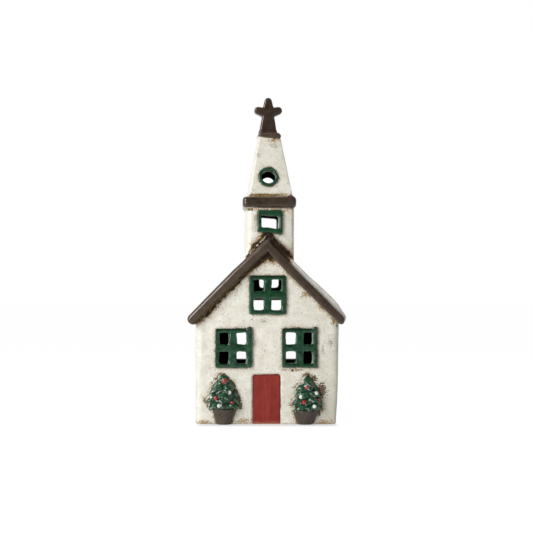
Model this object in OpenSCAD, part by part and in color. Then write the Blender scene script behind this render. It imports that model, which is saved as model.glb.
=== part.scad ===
// Slab-built ceramic village church for a tea light, in millimetres.
// X runs to the viewer's right, Y to the back and Z up; the origin is the middle of the underside.

/* [House] */
// Width of the house over its side walls
house_w = 118; // [100:1:140]
// Depth of the house, front wall face to back wall face
house_d = 96; // [90:1:120]
// Thickness of the house wall slabs
wall_t = 7; // [5:0.5:9]
// Thickness of the floor slab
floor_t = 7; // [4:0.5:12]
// Height of the side walls at their outer face
eave_z = 80.5; // [78:0.5:84]
// Rise of the gable from the eaves to the ridge, under the roof slabs
gable_rise = 60; // [54:0.5:64]
// How far the hand-made ridge stands right of the middle
ridge_shift = 1.5; // [-3:0.5:3]
// Rounding of the upright corners
corner_r = 5.5; // [2:0.5:6]
// How far the left wall leans in at its foot
left_lean = 0.8; // [0:0.2:2]
// How far the right wall leans in at its foot
right_lean = 2.2; // [0:0.2:3]

/* [Roof] */
// Thickness of the roof slabs at the ridge
roof_t = 9.2; // [7:0.2:11]
// Thickness of the left slab at its eave
left_eave_t = 8.2; // [7:0.2:10]
// Thickness of the right slab at its eave
right_eave_t = 9.4; // [7:0.2:10]
// How far the eaves reach past the side walls
eave_reach = 5.5; // [4:0.5:8]
// Overhang of the roof slabs at the front
roof_front = 1; // [0.5:0.5:3]
// Overhang of the roof slabs at the back
roof_back = 3; // [1:0.5:6]
// Swelling of the left slab above a flat one, low down
left_crown = 0; // [0:0.2:3]
// Swelling of the right slab above a flat one, low down
right_crown = 1.8; // [0:0.2:4]

/* [Gable trim] */
// Width of the brown strip along the gable
trim_w = 8.6; // [7:0.2:11]
// How far the strip stands out from the roof slabs
trim_d = 5; // [3:0.5:8]
// Rounding of the strip's front edge
trim_round = 2; // [1:0.2:3]

/* [Windows] */
// Width of one pane hole
pane_w = 8.6; // [6:0.2:10]
// Height of one pane hole
pane_h = 10.2; // [7:0.2:12]
// Width of the upright bar between the panes
mullion_w = 5.8; // [4:0.2:8]
// Height of the level bar between the panes
transom_h = 5.4; // [4:0.2:8]
// Width of the frame round the panes
frame_border = 3.9; // [3:0.1:6]
// How far the frames stand out from their wall
frame_t = 2; // [1:0.2:3]
// Rounding of the frame corners
frame_r = 1.6; // [0.6:0.1:2.4]
// Rounding of the pane corners
pane_r = 1.2; // [0.4:0.1:2]
// Middle of a side window, as a share of half the house's width
side_window_share = 0.461; // [0.4:0.001:0.53]
// Height of the middle of the side windows
side_window_z = 61.8; // [60:0.2:66]
// Sideways place of the gable window
gable_window_x = 0.3; // [-2:0.1:3]
// Height of the middle of the gable window
gable_window_z = 105; // [103:0.2:106]
// How much wider the wall's hole is than the pane, on each side
pane_clear = 0.4; // [0.2:0.1:1]

/* [Door] */
// Sideways place of the door
door_x = -0.5; // [-3:0.1:3]
// Width of the door panel
door_w = 22.6; // [18:0.2:26]
// Height of the door panel
door_h = 40.2; // [34:0.2:42]
// Thickness of the door panel
door_t = 1; // [0.6:0.2:2]
// Depth of the recess that holds the panel
door_recess = 1.8; // [1:0.2:3]
// Rounding of the top corners of the door
door_r = 2; // [0.5:0.1:4]
// Gap round the door panel in its recess
door_clear = 0.4; // [0.2:0.1:1]

/* [Back openings] */
// Width of the opening that a hand puts the candle through
hand_w = 62; // [48:0.2:70]
// Sideways place of its middle
hand_x = -0.4; // [-3:0.1:1]
// Height of that opening
hand_h = 51.2; // [44:0.2:54]
// Height of its lower edge
hand_z = 48; // [42:0.1:50]
// Rounding of its corners
hand_r = 5; // [3:0.5:20]
// Width of the vent in the back gable
vent_w = 17.1; // [10:0.1:18]
// Height of the vent
vent_h = 15; // [8:0.2:16]
// Height of the vent's lower edge
vent_z = 110.7; // [108:0.1:112]
// Rounding of the vent's corners
vent_r = 2; // [1:0.1:4]

/* [Tower] */
// Width of the square tower
tower_w = 38.4; // [34:0.2:42]
// Thickness of the tower wall slabs
tower_t = 5.5; // [4:0.1:7]
// Turn of the tower on the roof, in degrees
tower_twist = 5.5; // [0:0.5:8]
// Distance of the tower behind the front wall face
tower_setback = 2.5; // [2:0.1:4]
// Height of the tower above the roof's peak
tower_h = 22.6; // [21.8:0.2:26]
// Rounding of the tower's upright edges
tower_r = 3.5; // [1:0.1:3.8]
// Width of the tower window hole
tower_hole_w = 15.5; // [10:0.1:18]
// Height of the tower window hole
tower_hole_h = 10.4; // [7:0.1:12]
// Width of the tower frame's side bars
tower_frame_side = 2.7; // [2:0.1:4]
// Height of the tower frame's level bars
tower_frame_level = 4.5; // [3:0.1:5.2]
// Height of the middle of the tower window above the roof's peak
tower_window_up = 10.9; // [10.6:0.1:11.6]
// Sideways place of the tower window on the tower's front
tower_window_x = -0.9; // [-2:0.1:2]
// Width of the opening in the tower's back
tower_back_w = 17.4; // [12:0.2:22]
// Sideways place of its middle
tower_back_x = -0.6; // [-1.5:0.1:1]
// Height of the opening in the tower's back
tower_back_h = 15.2; // [10:0.2:16]
// Height of that opening's lower edge above the roof's peak
tower_back_up = 1.2; // [0.6:0.2:3]
// Height of the clay bead at the tower's foot, above the roof
bead_h = 1.8; // [1.4:0.2:3]

/* [Cornice] */
// How far the cornice stands out past the tower
cornice_reach = 2.8; // [1:0.1:4]
// Turn of the cornice on the tower, in degrees
cornice_twist = -4; // [-6:0.5:2]
// Thickness of the cornice
cornice_h = 9.6; // [7:0.1:12]
// Rounding of the cornice edges
cornice_r = 3.2; // [1:0.1:4]

/* [Spire] */
// Width of the spire at its foot
spire_base = 36.4; // [34.5:0.1:38]
// Width of the spire at its top
spire_top = 17.7; // [14:0.1:22]
// Height of the spire
spire_h = 48.8; // [40:0.1:60]
// Thickness of the spire wall slabs
spire_t = 4.5; // [3:0.1:6]
// Radius of the round window
oculus_r = 5.8; // [4:0.1:6.4]
// Sideways place of the front round window on its wall
oculus_x = -1.8; // [-3:0.1:2]
// Height of the front round window's middle above the spire's foot, along the slope
oculus_up = 16.6; // [14:0.1:20]
// Height of the round window in the back, measured the same way
back_oculus_up = 13.6; // [10:0.1:20]
// Width of the ring round the round window
ring_w = 2.6; // [1.6:0.1:3]
// How far the ring stands out
ring_t = 1.6; // [0.8:0.1:2.4]

/* [Cap and cross] */
// Width of the cap slab
cap_w = 19.2; // [18:0.1:24]
// Thickness of the cap slab
cap_h = 5.6; // [4.6:0.1:8]
// Rounding of the cap's edges
cap_r = 2.2; // [0.8:0.1:2.4]
// Height of the cross above the cap
cross_h = 29.4; // [27:0.2:34]
// Sideways place of the cross on the cap
cross_x = -0.8; // [-1.5:0.1:1.5]
// Span of the arms of the cross
cross_span = 22.8; // [20:0.2:26]
// Height of the arms above the cap
cross_arm_z = 18; // [16:0.2:19]
// How much higher the arm tips are than the arm roots
cross_arm_rise = 0.8; // [0:0.1:1]
// How far the arms hang lower at their roots
cross_root_drop = 1.6; // [0:0.1:2]
// Width of the cross at its foot
cross_foot_w = 13.6; // [12:0.2:15]
// Width of the cross's post where the arms leave it
cross_post_w = 8; // [7:0.1:11]
// Width of the cross's top where it leaves the arms
cross_neck_w = 9.6; // [8:0.1:11]
// Height of the arms at their roots
cross_arm_h = 8.2; // [7:0.1:9]
// Radius of the tips of the arms and of the top
cross_tip_r = 2.9; // [2.2:0.1:3.2]
// Thickness of the cross
cross_d = 8; // [5:0.2:9]
// Rounding of the cross's edges
cross_round = 1.4; // [0.6:0.1:1.6]

/* [Potted trees] */
// Place of the left tree, as a share of half the house's width
left_tree_share = 0.59; // [0.56:0.001:0.64]
// Place of the right tree, as a share of half the house's width
right_tree_share = 0.566; // [0.55:0.001:0.64]
// Height of a pot
pot_h = 11.2; // [10:0.2:15]
// Radius of a pot at its rim
pot_rim_r = 9.6; // [8:0.2:12]
// Radius of a pot at its foot
pot_foot_r = 7.4; // [5:0.2:9]
// How deep the pot's axis is sunk behind the wall face
pot_sink = 1.5; // [0:0.1:3]
// Height of the left tree's foliage above its pot
left_tree_h = 30.4; // [26:0.2:32]
// Height of the right tree's foliage above its pot
right_tree_h = 28.6; // [26:0.2:32]
// Half the width of the foliage
tree_r = 14; // [12:0.2:16]
// How far the foliage stands out, as a share of its half width
tree_depth_share = 0.68; // [0.5:0.02:1]
// Depth of the leaf lumps, as a share of the radius
leaf_share = 0.12; // [0:0.01:0.15]
// Rows of leaves on a tree
leaf_rows = 6; // [4:1:8]
// Leaves in half a turn
leaf_count = 5; // [3:1:8]
// Radius of a bauble
bauble_r = 1.9; // [1.4:0.1:2.4]

/* [Hidden] */
$fn = 64;

// Overrun of every cut past the faces that it goes through
cut = 1;
// Gap left between the tower's slabs, and above its bead, for the slip that joins them
seam = 0.3;
// Sides of a circle that a hull is made from
hull_fn = 28;
// Points along the top of a roof slab, and round its eave
crown_steps = 20;
eave_steps = 8;
// Where along the slope a slab starts to swell, and swells most, as shares of its length
crown_start_share = 0.3;
crown_peak_share = 0.85;
// Rings of points in one row of leaves, and steps in half a turn
leaf_rings = 4;
tree_steps = 30;
// Foliage outline: [share of its height, share of its half width]
foliage_shares = [[0, 0.68], [0.05, 0.84], [0.15, 1], [0.26, 0.97], [0.36, 0.89],
                  [0.53, 0.71], [0.71, 0.45], [0.88, 0.21], [1, 0]];
// Baubles: [share of the half width there, share of the height]
left_red_shares = [[0.08, 0.77], [-0.51, 0.31], [0.46, 0.19]];
left_white_shares = [[0.34, 0.47], [-0.31, 0.12], [-0.8, 0.35]];
right_red_shares = [[-0.04, 0.65], [-0.23, 0.22], [0.71, 0.3]];
right_white_shares = [[0.63, 0.49], [-0.45, 0.37], [0.43, 0.1]];

front_y = -house_d / 2;
back_y = house_d / 2;
ridge_z = eave_z + gable_rise;
inner_w = house_w - 2 * wall_t;
inner_d = house_d - 2 * wall_t;
house_r = min(corner_r, wall_t * 0.9);
roof_y0 = front_y - roof_front;
roof_y1 = back_y + roof_back;
frame_w = 2 * pane_w + mullion_w + 2 * frame_border;
frame_h = 2 * pane_h + transom_h + 2 * frame_border;
side_window_x = side_window_share * house_w / 2;
peak_z = ridge_z + roof_t / cos(max(pitch(1), pitch(-1)));
tower_y = front_y + tower_setback + tower_w / 2;
tower_z = peak_z + tower_h;
tower_window_z = peak_z + tower_window_up;
tower_back_z = peak_z + tower_back_up;
hollow_w = tower_w - 2 * tower_t;
tower_side_r = min(tower_r, tower_t * 0.9);
tower_frame_w = tower_hole_w + 2 * tower_frame_side;
tower_frame_h = tower_hole_h + 2 * tower_frame_level;
cornice_w = tower_w + 2 * cornice_reach;
cornice_hole_w = spire_base - 2 * spire_t;
spire_z = tower_z + cornice_h;
spire_lean = atan((spire_base - spire_top) / 2 / spire_h);
spire_slope = spire_h / cos(spire_lean);
cap_z = spire_z + spire_h;
cross_z = cap_z + cap_h;
leaf_levels = leaf_rows * leaf_rings;

// Slope of the roof on one side: side is 1 on the right and -1 on the left
function run(side) = house_w / 2 - side * ridge_shift;
function pitch(side) = atan(gable_rise / run(side));
function crown(side) = side > 0 ? right_crown : left_crown;
function eave_t(side) = side > 0 ? right_eave_t : left_eave_t;
function tree_x(side) = house_w / 2 * (side > 0 ? right_tree_share : -left_tree_share);
function tree_h(side) = side > 0 ? right_tree_h : left_tree_h;

// A point in the X-Z plane, u down the slope from the ridge and v square to it
function on_slope(side, u, v) =
    [ridge_shift + side * (u * cos(pitch(side)) + v * sin(pitch(side))),
     ridge_z - u * sin(pitch(side)) + v * cos(pitch(side))];

// Where the rounded eave of a strip of this width has its centre, down the slope
function eave_u(side, width) =
    (house_w / 2 + eave_reach - width / 2 - side * ridge_shift
     - width / 2 * sin(pitch(side))) / cos(pitch(side));

// How far a slab swells at a share of its length
function swell(share) =
    share < crown_start_share ? 0
    : share < crown_peak_share
    ? (1 - cos(180 * (share - crown_start_share) / (crown_peak_share - crown_start_share))) / 2
    : (1 + cos(180 * (share - crown_peak_share) / (1 - crown_peak_share))) / 2;

// Thickness of a roof slab at a share of its length
function slab_t(side, share) =
    roof_t + (eave_t(side) - roof_t) * max(share, 0) + crown(side) * swell(share);

// Top line of a roof slab, from the ridge to the eave, raised by extra
function roof_top(side, extra) =
    [for (i = [0 : crown_steps])
        let (u0 = -(roof_t + extra) * tan(pitch(side)),
             u1 = eave_u(side, eave_t(side)),
             u = u0 + (u1 - u0) * i / crown_steps)
        on_slope(side, u, slab_t(side, u / u1) + extra)];

// Sides of a ball that rounds the edges of a hull, fewer on a small one
function edge_sides(r) = 4 * round(1.5 + r);

function reversed(list) = [for (i = [len(list) - 1 : -1 : 0]) list[i]];

// Half width of the foliage at a share of its height, without its leaves
function foliage(share) = tree_r * lookup(share, foliage_shares);

// Half width with the leaves: rows of lumps, each row turned by half a leaf
function leafy(share, angle) =
    let (row = floor(share * leaf_rows), up = share * leaf_rows - row)
    foliage(share) * (1 + leaf_share * sin(180 * up)
                      * cos(2 * leaf_count * angle + 180 * (row % 2)));

// Depth of the foliage in front of the wall at a share of its half width
function foliage_y(x_share, share) =
    front_y - tree_depth_share * foliage(share) * sqrt(1 - x_share * x_share);

// Stands an outline drawn in X and Z upright, from y0 to y1
module upright(y0, y1) {
    translate([0, y1, 0]) rotate([90, 0, 0]) linear_extrude(y1 - y0) children();
}

module rounded_rect(w, h, r) {
    square([w - 2 * r, h], center = true);
    square([w, h - 2 * r], center = true);
    for (x = [-1, 1], y = [-1, 1])
        translate([x * (w / 2 - r), y * (h / 2 - r)]) circle(r);
}

// A slab seen from above, with its two outer corners rounded
module rounded_slab_plan(w, t, r) {
    translate([-w / 2, r]) square([w, t - r]);
    translate([-w / 2 + r, 0]) square([w - 2 * r, r]);
    intersection() {
        for (x = [-1, 1]) translate([x * (w / 2 - r), r]) circle(r);
        translate([-w / 2, 0]) square([w, r]);
    }
}

// Outline of the house from the front, under the roof
module gable_outline() {
    polygon([[-house_w / 2 + left_lean, 0], [house_w / 2 - right_lean, 0],
             [house_w / 2, eave_z], [ridge_shift, ridge_z], [-house_w / 2, eave_z]]);
}

// Outline of one roof slab from the front, with its round eave
module roof_outline(side) {
    r = eave_t(side) / 2;
    round_eave = [for (i = [0 : eave_steps])
        let (a = -90 + 180 * i / eave_steps)
        on_slope(side, eave_u(side, 2 * r) + r * cos(a), r * (1 + sin(a)))];
    polygon(concat([on_slope(side, 0, 0)], round_eave, reversed(roof_top(side, 0))));
}

// Everything below the roof's top, raised by extra, as one outline
module under_roof_outline(extra) {
    polygon(concat([[-house_w / 2, 0]], reversed(roof_top(-1, extra)), roof_top(1, extra),
                   [[house_w / 2, 0]]));
}

module pane_outlines(grow) {
    for (x = [-1, 1], z = [-1, 1])
        translate([x * (mullion_w + pane_w) / 2, z * (transom_h + pane_h) / 2])
            rounded_rect(pane_w + 2 * grow, pane_h + 2 * grow, pane_r + grow);
}

module window_places() {
    translate([-side_window_x, side_window_z]) children();
    translate([side_window_x, side_window_z]) children();
    translate([gable_window_x, gable_window_z]) children();
}

// Door outline with round top corners, reaching down to this far below the ground
module door_outline(grow, below) {
    translate([door_x, (door_h + grow - below) / 2])
        rounded_rect(door_w + 2 * grow, door_h + grow + below, door_r + grow);
    translate([door_x - door_w / 2 - grow, -below]) square([door_w + 2 * grow, door_h / 2]);
}

// A slab with every edge rounded, standing on z = 0
module pillow(w, h, r) {
    hull() for (x = [-1, 1], y = [-1, 1], z = [r, h - r])
        translate([x * (w / 2 - r), y * (w / 2 - r), z]) sphere(r, $fn = edge_sides(r));
}

module house_column() {
    linear_extrude(ridge_z) children();
}

module end_wall_solid() {
    intersection() {
        upright(0, wall_t) gable_outline();
        house_column() rounded_slab_plan(house_w, wall_t, house_r);
    }
}

module floor_slab() {
    color("sienna") translate([-inner_w / 2, -inner_d / 2, 0])
        cube([inner_w, inner_d, floor_t]);
}

module front_wall() {
    color("linen") difference() {
        translate([0, front_y, 0]) end_wall_solid();
        upright(front_y - cut, front_y + wall_t + cut)
            window_places() pane_outlines(pane_clear);
        upright(front_y - cut, front_y + door_recess) door_outline(door_clear, cut);
    }
}

module back_wall() {
    color("linen") difference() {
        translate([0, back_y, 0]) mirror([0, 1, 0]) end_wall_solid();
        upright(back_y - wall_t - cut, back_y + cut) {
            translate([hand_x, hand_z + hand_h / 2]) rounded_rect(hand_w, hand_h, hand_r);
            translate([ridge_shift, vent_z + vent_h / 2]) rounded_rect(vent_w, vent_h, vent_r);
        }
    }
}

module side_wall(side) {
    color("linen") intersection() {
        upright(-inner_d / 2, inner_d / 2) gable_outline();
        translate([side > 0 ? inner_w / 2 : -house_w / 2, -house_d / 2, 0])
            cube([wall_t, house_d, ridge_z]);
    }
}

module roof_slab(side) {
    color("ivory") difference() {
        upright(roof_y0, roof_y1) roof_outline(side);
        at_tower() translate([-hollow_w / 2, -hollow_w / 2, 0])
            cube([hollow_w, hollow_w, tower_z]);
    }
}

// A disc whose front rim is rounded, with its flat back on y = 0
module trim_button() {
    rotate([90, 0, 0]) rotate_extrude($fn = hull_fn) {
        square([trim_w / 2, trim_d - trim_round]);
        square([trim_w / 2 - trim_round, trim_d]);
        translate([trim_w / 2 - trim_round, trim_d - trim_round]) intersection() {
            circle(trim_round, $fn = hull_fn);
            square(trim_round);
        }
    }
}

module gable_trim() {
    mean_pitch = (pitch(1) + pitch(-1)) / 2;
    apex = [ridge_shift, ridge_z + trim_w / 2 / cos(mean_pitch)];
    color("dimgray") for (side = [-1, 1]) {
        eave = on_slope(side, eave_u(side, trim_w), trim_w / 2);
        hull() for (p = [apex, eave]) translate([p[0], roof_y0, p[1]]) trim_button();
    }
}

module door_panel() {
    color("firebrick") upright(front_y + door_recess - door_t, front_y + door_recess)
        door_outline(0, 0);
}

module window_frame(x, z) {
    color("darkgreen") upright(front_y - frame_t, front_y) translate([x, z]) difference() {
        rounded_rect(frame_w, frame_h, frame_r);
        pane_outlines(0);
    }
}

module pot(side) {
    color("dimgray") intersection() {
        translate([tree_x(side), front_y + pot_sink, 0])
            cylinder(pot_h, pot_foot_r, pot_rim_r);
        translate([tree_x(side) - 2 * pot_rim_r, front_y - 2 * pot_rim_r, 0])
            cube([4 * pot_rim_r, 2 * pot_rim_r, pot_h]);
    }
}

// Half a tree with its flat back on the wall: rings of points and one tip
module foliage_solid(side) {
    width = tree_steps + 1;
    points = [for (i = [0 : leaf_levels - 1], j = [0 : tree_steps])
        let (share = i / leaf_levels, a = 180 * j / tree_steps, r = leafy(share, a))
        [r * cos(a), -tree_depth_share * r * sin(a), tree_h(side) * share]];
    tip = len(points);
    sides = [for (i = [0 : leaf_levels - 2], j = [0 : tree_steps - 1])
        let (k = i * width + j)
        each [[k, k + 1, k + width + 1], [k, k + width + 1, k + width]]];
    crest = [for (j = [0 : tree_steps - 1])
        let (k = (leaf_levels - 1) * width + j) [k, k + 1, tip]];
    back = [for (i = [0 : leaf_levels - 2])
        let (k = i * width) each [[k, k + width, k + width + tree_steps],
                                  [k, k + width + tree_steps, k + tree_steps]]];
    back_tip = [[(leaf_levels - 1) * width, tip, leaf_levels * width - 1]];
    base = [for (j = [1 : tree_steps - 1]) [0, j + 1, j]];
    translate([tree_x(side), front_y, pot_h])
        polyhedron(concat(points, [[0, 0, tree_h(side)]]),
                   concat(sides, crest, back, back_tip, base));
}

module tree(side) {
    color("darkgreen") foliage_solid(side);
}

// Glaze beads on the foliage, hollowed to its shape behind
module baubles(side, shares, paint) {
    color(paint) difference() {
        for (p = shares)
            translate([tree_x(side) + p[0] * foliage(p[1]),
                       foliage_y(p[0], p[1]),
                       pot_h + p[1] * tree_h(side)])
                hull() sphere(bauble_r, $fn = edge_sides(2 * bauble_r));
        foliage_solid(side);
    }
}

// Moves a shape from the tower's own axis to its place on the roof
module at_tower() {
    translate([ridge_shift, tower_y, 0]) rotate([0, 0, tower_twist]) children();
}

// One tower wall in plan: the front and back run the full width, the sides fit between
module tower_wall(angle, full) {
    color("linen") difference() {
        at_tower() rotate([0, 0, angle]) linear_extrude(tower_z)
            translate([0, -tower_w / 2])
                if (full)
                    rounded_slab_plan(tower_w, tower_t, tower_side_r);
                else
                    translate([-hollow_w / 2 + seam, 0]) square([hollow_w - 2 * seam, tower_t]);
        upright(tower_y - tower_w, tower_y + tower_w) under_roof_outline(0);
        at_tower() rotate([0, 0, angle]) children();
    }
}

module tower_hole(w, h, x, z) {
    upright(-tower_w / 2 - cut, -tower_w / 2 + tower_t + cut)
        translate([x, z]) rounded_rect(w, h, pane_r);
}

module tower_front_wall() {
    tower_wall(0, true)
        tower_hole(tower_hole_w + 2 * pane_clear, tower_hole_h + 2 * pane_clear,
                   tower_window_x, tower_window_z);
}

module tower_back_wall() {
    tower_wall(180, true)
        tower_hole(tower_back_w, tower_back_h, -tower_back_x, tower_back_z + tower_back_h / 2);
}

// Clay bead that seals the tower's front to the roof, under the tower frame
module tower_foot_bead() {
    top_z = tower_window_z - tower_frame_h / 2 - seam;
    color("saddlebrown") difference() {
        intersection() {
            upright(roof_y0, tower_y) under_roof_outline(bead_h);
            translate([ridge_shift - tower_w / 2, roof_y0, 0]) cube([tower_w, tower_w, top_z]);
        }
        upright(roof_y0 - cut, tower_y + cut) under_roof_outline(0);
        at_tower() translate([-tower_w, -tower_w / 2 - seam, 0])
            cube([2 * tower_w, tower_w, tower_z]);
    }
}

module tower_window_frame() {
    color("darkgreen") at_tower() upright(-tower_w / 2 - frame_t, -tower_w / 2)
        translate([tower_window_x, tower_window_z]) difference() {
            rounded_rect(tower_frame_w, tower_frame_h, frame_r);
            rounded_rect(tower_hole_w, tower_hole_h, pane_r);
        }
}

module cornice() {
    color("dimgray") at_tower() translate([0, 0, tower_z]) difference() {
        rotate([0, 0, cornice_twist])
            pillow(cornice_w, cornice_h, min(cornice_r, cornice_h * 0.45));
        translate([-cornice_hole_w / 2, -cornice_hole_w / 2, -cut])
            cube([cornice_hole_w, cornice_hole_w, cornice_h + 2 * cut]);
    }
}

// Puts a shape drawn on an upright plate onto the leaning face of the spire
module on_spire(angle) {
    at_tower() translate([0, 0, spire_z]) rotate([0, 0, angle])
        translate([0, -spire_base / 2, 0]) rotate([-spire_lean, 0, 0]) children();
}

module spire_plate(angle) {
    color("linen") intersection() {
        on_spire(angle) translate([-spire_base / 2, 0, -spire_t])
            cube([spire_base, spire_t, spire_slope + 2 * spire_t]);
        at_tower() rotate([0, 0, angle]) translate([0, 0, spire_z]) linear_extrude(spire_h)
            polygon([[0, 0], [-spire_base, -spire_base], [spire_base, -spire_base]]);
    }
}

module spire_pierced_wall(angle, x, up) {
    difference() {
        spire_plate(angle);
        on_spire(angle) translate([x, -cut, up]) rotate([-90, 0, 0])
            cylinder(2 * spire_t, oculus_r, oculus_r);
    }
}

module oculus_ring() {
    ring_mid = oculus_r + ring_w / 2;
    color("darkgreen") on_spire(0) translate([oculus_x, 0, oculus_up]) rotate([90, 0, 0])
        rotate_extrude() translate([ring_mid, 0]) intersection() {
            scale([1, 2 * ring_t / ring_w]) circle(ring_w / 2);
            translate([-ring_w / 2, 0]) square([ring_w, ring_t]);
        }
}

module spire_cap() {
    color("dimgray") at_tower() translate([0, 0, cap_z])
        pillow(cap_w, cap_h, min(cap_r, cap_h * 0.45));
}

// Outline of the cross, drawn inside its rounding
module cross_outline() {
    g = cross_round;
    tip_r = cross_tip_r - g;
    arm_r = cross_arm_h / 2 - g;
    half_post = cross_post_w / 2 - g;
    half_neck = cross_neck_w / 2 - g;
    arm_x = cross_span / 2 - cross_tip_r;
    root_z = cross_arm_z - cross_root_drop;
    polygon([[-cross_foot_w / 2 + g, g], [cross_foot_w / 2 - g, g],
             [half_post, cross_arm_z], [-half_post, cross_arm_z]]);
    hull() {
        translate([0, cross_h - cross_tip_r]) circle(tip_r, $fn = hull_fn);
        translate([-half_neck, root_z]) square([2 * half_neck, cross_root_drop]);
    }
    for (x = [-1, 1]) hull() {
        translate([x * arm_x, cross_arm_z + cross_arm_rise]) circle(tip_r, $fn = hull_fn);
        translate([0, root_z]) circle(arm_r, $fn = hull_fn);
    }
}

module cross() {
    depth = cross_d - 2 * cross_round;
    color("dimgray") at_tower() translate([cross_x, 0, cross_z]) minkowski() {
        upright(-depth / 2, depth / 2) cross_outline();
        sphere(cross_round, $fn = 12);
    }
}

floor_slab();
front_wall();
back_wall();
side_wall(-1);  // left_wall
side_wall(1);  // right_wall
roof_slab(-1);  // left_roof_slab
roof_slab(1);  // right_roof_slab
gable_trim();
door_panel();
window_frame(-side_window_x, side_window_z);  // left_window_frame
window_frame(side_window_x, side_window_z);  // right_window_frame
window_frame(gable_window_x, gable_window_z);  // gable_window_frame
pot(-1);  // left_pot
pot(1);  // right_pot
tree(-1);  // left_tree
tree(1);  // right_tree
baubles(-1, left_red_shares, "red");  // left_red_baubles
baubles(-1, left_white_shares, "white");  // left_white_baubles
baubles(1, right_red_shares, "red");  // right_red_baubles
baubles(1, right_white_shares, "white");  // right_white_baubles
tower_front_wall();
tower_back_wall();
tower_wall(-90, false);  // tower_left_wall
tower_wall(90, false);  // tower_right_wall
tower_foot_bead();
tower_window_frame();
cornice();
spire_pierced_wall(0, oculus_x, oculus_up);  // spire_front_wall
spire_pierced_wall(180, 0, back_oculus_up);  // spire_back_wall
spire_plate(-90);  // spire_left_wall
spire_plate(90);  // spire_right_wall
oculus_ring();
spire_cap();
cross();
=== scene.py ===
"""A slab-built ceramic village church for a tea light, with painted windows and two potted trees.

Each piece is pressed from its CAD solid: remeshed as soft clay, smoothed and wavered.
Lengths are in metres, and MM turns millimetres into them.
"""

import math

import bmesh
import bpy
import numpy as np
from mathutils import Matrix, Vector
from mathutils.bvhtree import BVHTree


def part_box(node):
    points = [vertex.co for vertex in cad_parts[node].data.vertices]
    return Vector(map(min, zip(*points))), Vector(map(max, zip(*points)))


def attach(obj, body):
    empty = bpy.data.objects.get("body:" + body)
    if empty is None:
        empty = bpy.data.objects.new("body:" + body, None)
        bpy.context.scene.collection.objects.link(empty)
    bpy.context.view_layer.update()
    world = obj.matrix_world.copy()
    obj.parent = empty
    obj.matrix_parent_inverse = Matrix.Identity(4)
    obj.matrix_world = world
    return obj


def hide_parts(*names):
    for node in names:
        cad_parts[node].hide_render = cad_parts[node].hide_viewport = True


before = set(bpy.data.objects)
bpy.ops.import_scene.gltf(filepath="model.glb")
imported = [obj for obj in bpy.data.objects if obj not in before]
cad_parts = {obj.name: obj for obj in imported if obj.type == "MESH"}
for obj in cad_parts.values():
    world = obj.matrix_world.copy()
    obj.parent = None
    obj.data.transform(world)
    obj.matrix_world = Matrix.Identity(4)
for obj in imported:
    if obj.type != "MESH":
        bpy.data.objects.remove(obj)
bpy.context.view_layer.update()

MM = 0.001

# Places read from the frame
front_lo, front_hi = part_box("front_wall")
back_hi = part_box("back_wall")[1]
side_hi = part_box("right_wall")[1]
roof_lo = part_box("right_roof_slab")[0]
cornice_lo, cornice_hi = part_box("cornice")
spire_lo, spire_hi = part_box("spire_front_wall")
cap_lo, cap_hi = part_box("spire_cap")
FRONT_Y, BACK_Y = front_lo.y, back_hi.y
WALL_T = front_hi.y - front_lo.y
HALF_HOUSE = front_hi.x
RIDGE_X = (cornice_lo.x + cornice_hi.x) / 2
RIDGE_Z = front_hi.z
EAVE_Z = side_hi.z - WALL_T * (RIDGE_Z - side_hi.z) / (HALF_HOUSE - WALL_T - RIDGE_X)
TOWER_Y = (cornice_lo.y + cornice_hi.y) / 2
SPIRE_Z = spire_lo.z
SPIRE_TOP_Z = spire_hi.z

# Sizes of the solids that no box gives
TOWER_TWIST = math.radians(5.5)
FRAME_BORDER = 3.9 * MM
MULLION_W = 5.8 * MM
CROSSBAR_H = 5.4 * MM
TRIM_W = 8.6 * MM
TOWER_HOLLOW_HALF = 13.7 * MM
SPIRE_HOLLOW_HALF_TOP = 4.3 * MM
SPIRE_HOLLOW_HALF_GAIN = 9.3 * MM


# ---- clay: shapes ----


def lumps(points, size, seed):
    """Smooth random heights from -1 to 1 at these points, with bumps of about this size."""
    q = points / size + seed * 17.13
    cell = np.floor(q).astype(np.int64)
    f = q - cell
    f = f * f * (3 - 2 * f)
    total = np.zeros(len(points))
    for corner in np.ndindex(2, 2, 2):
        c = cell + np.array(corner)
        h = (c[:, 0] * 73856093) ^ (c[:, 1] * 19349663) ^ (c[:, 2] * 83492791) ^ (seed * 2654435)
        h = (h ^ (h >> 13)) * 1274126177 & 0xFFFFFFF
        weight = np.prod(np.where(corner, f, 1 - f), axis=1)
        total += weight * (h / 0x7FFFFFF - 1)
    return total


def smoothstep(value, low, high):
    """0 at low and 1 at high, with soft ends."""
    t = np.clip((value - low) / (high - low), 0, 1)
    return t * t * (3 - 2 * t)


def within(value, low, high, soft):
    """1 between low and high, fading past them."""
    return smoothstep(value, low - soft, low) * (1 - smoothstep(value, high, high + soft))


def swell(value, at, width):
    """1 at a place, falling off over this width on each side."""
    return np.exp(-(((value - at) / width) ** 2))


def solid(node):
    """Points and faces of a CAD node, in the row frame."""
    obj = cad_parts[node]
    mesh = obj.data
    points = np.array([obj.matrix_world @ v.co for v in mesh.vertices])
    return points, [list(p.vertices) for p in mesh.polygons]


def mesh_from(name, points, faces):
    mesh = bpy.data.meshes.new(name)
    mesh.from_pydata([tuple(p) for p in points], [], faces)
    mesh.update()
    return mesh


def remeshed(mesh, voxel):
    """The mesh as one skin of small squares, as clay pressed together is."""
    obj = bpy.data.objects.new("lump", mesh)
    bpy.context.scene.collection.objects.link(obj)
    press = obj.modifiers.new("press", "REMESH")
    press.mode = "VOXEL"
    press.voxel_size = voxel
    graph = bpy.context.evaluated_depsgraph_get()
    result = bpy.data.meshes.new_from_object(obj.evaluated_get(graph))
    bpy.data.objects.remove(obj)
    return result


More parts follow.
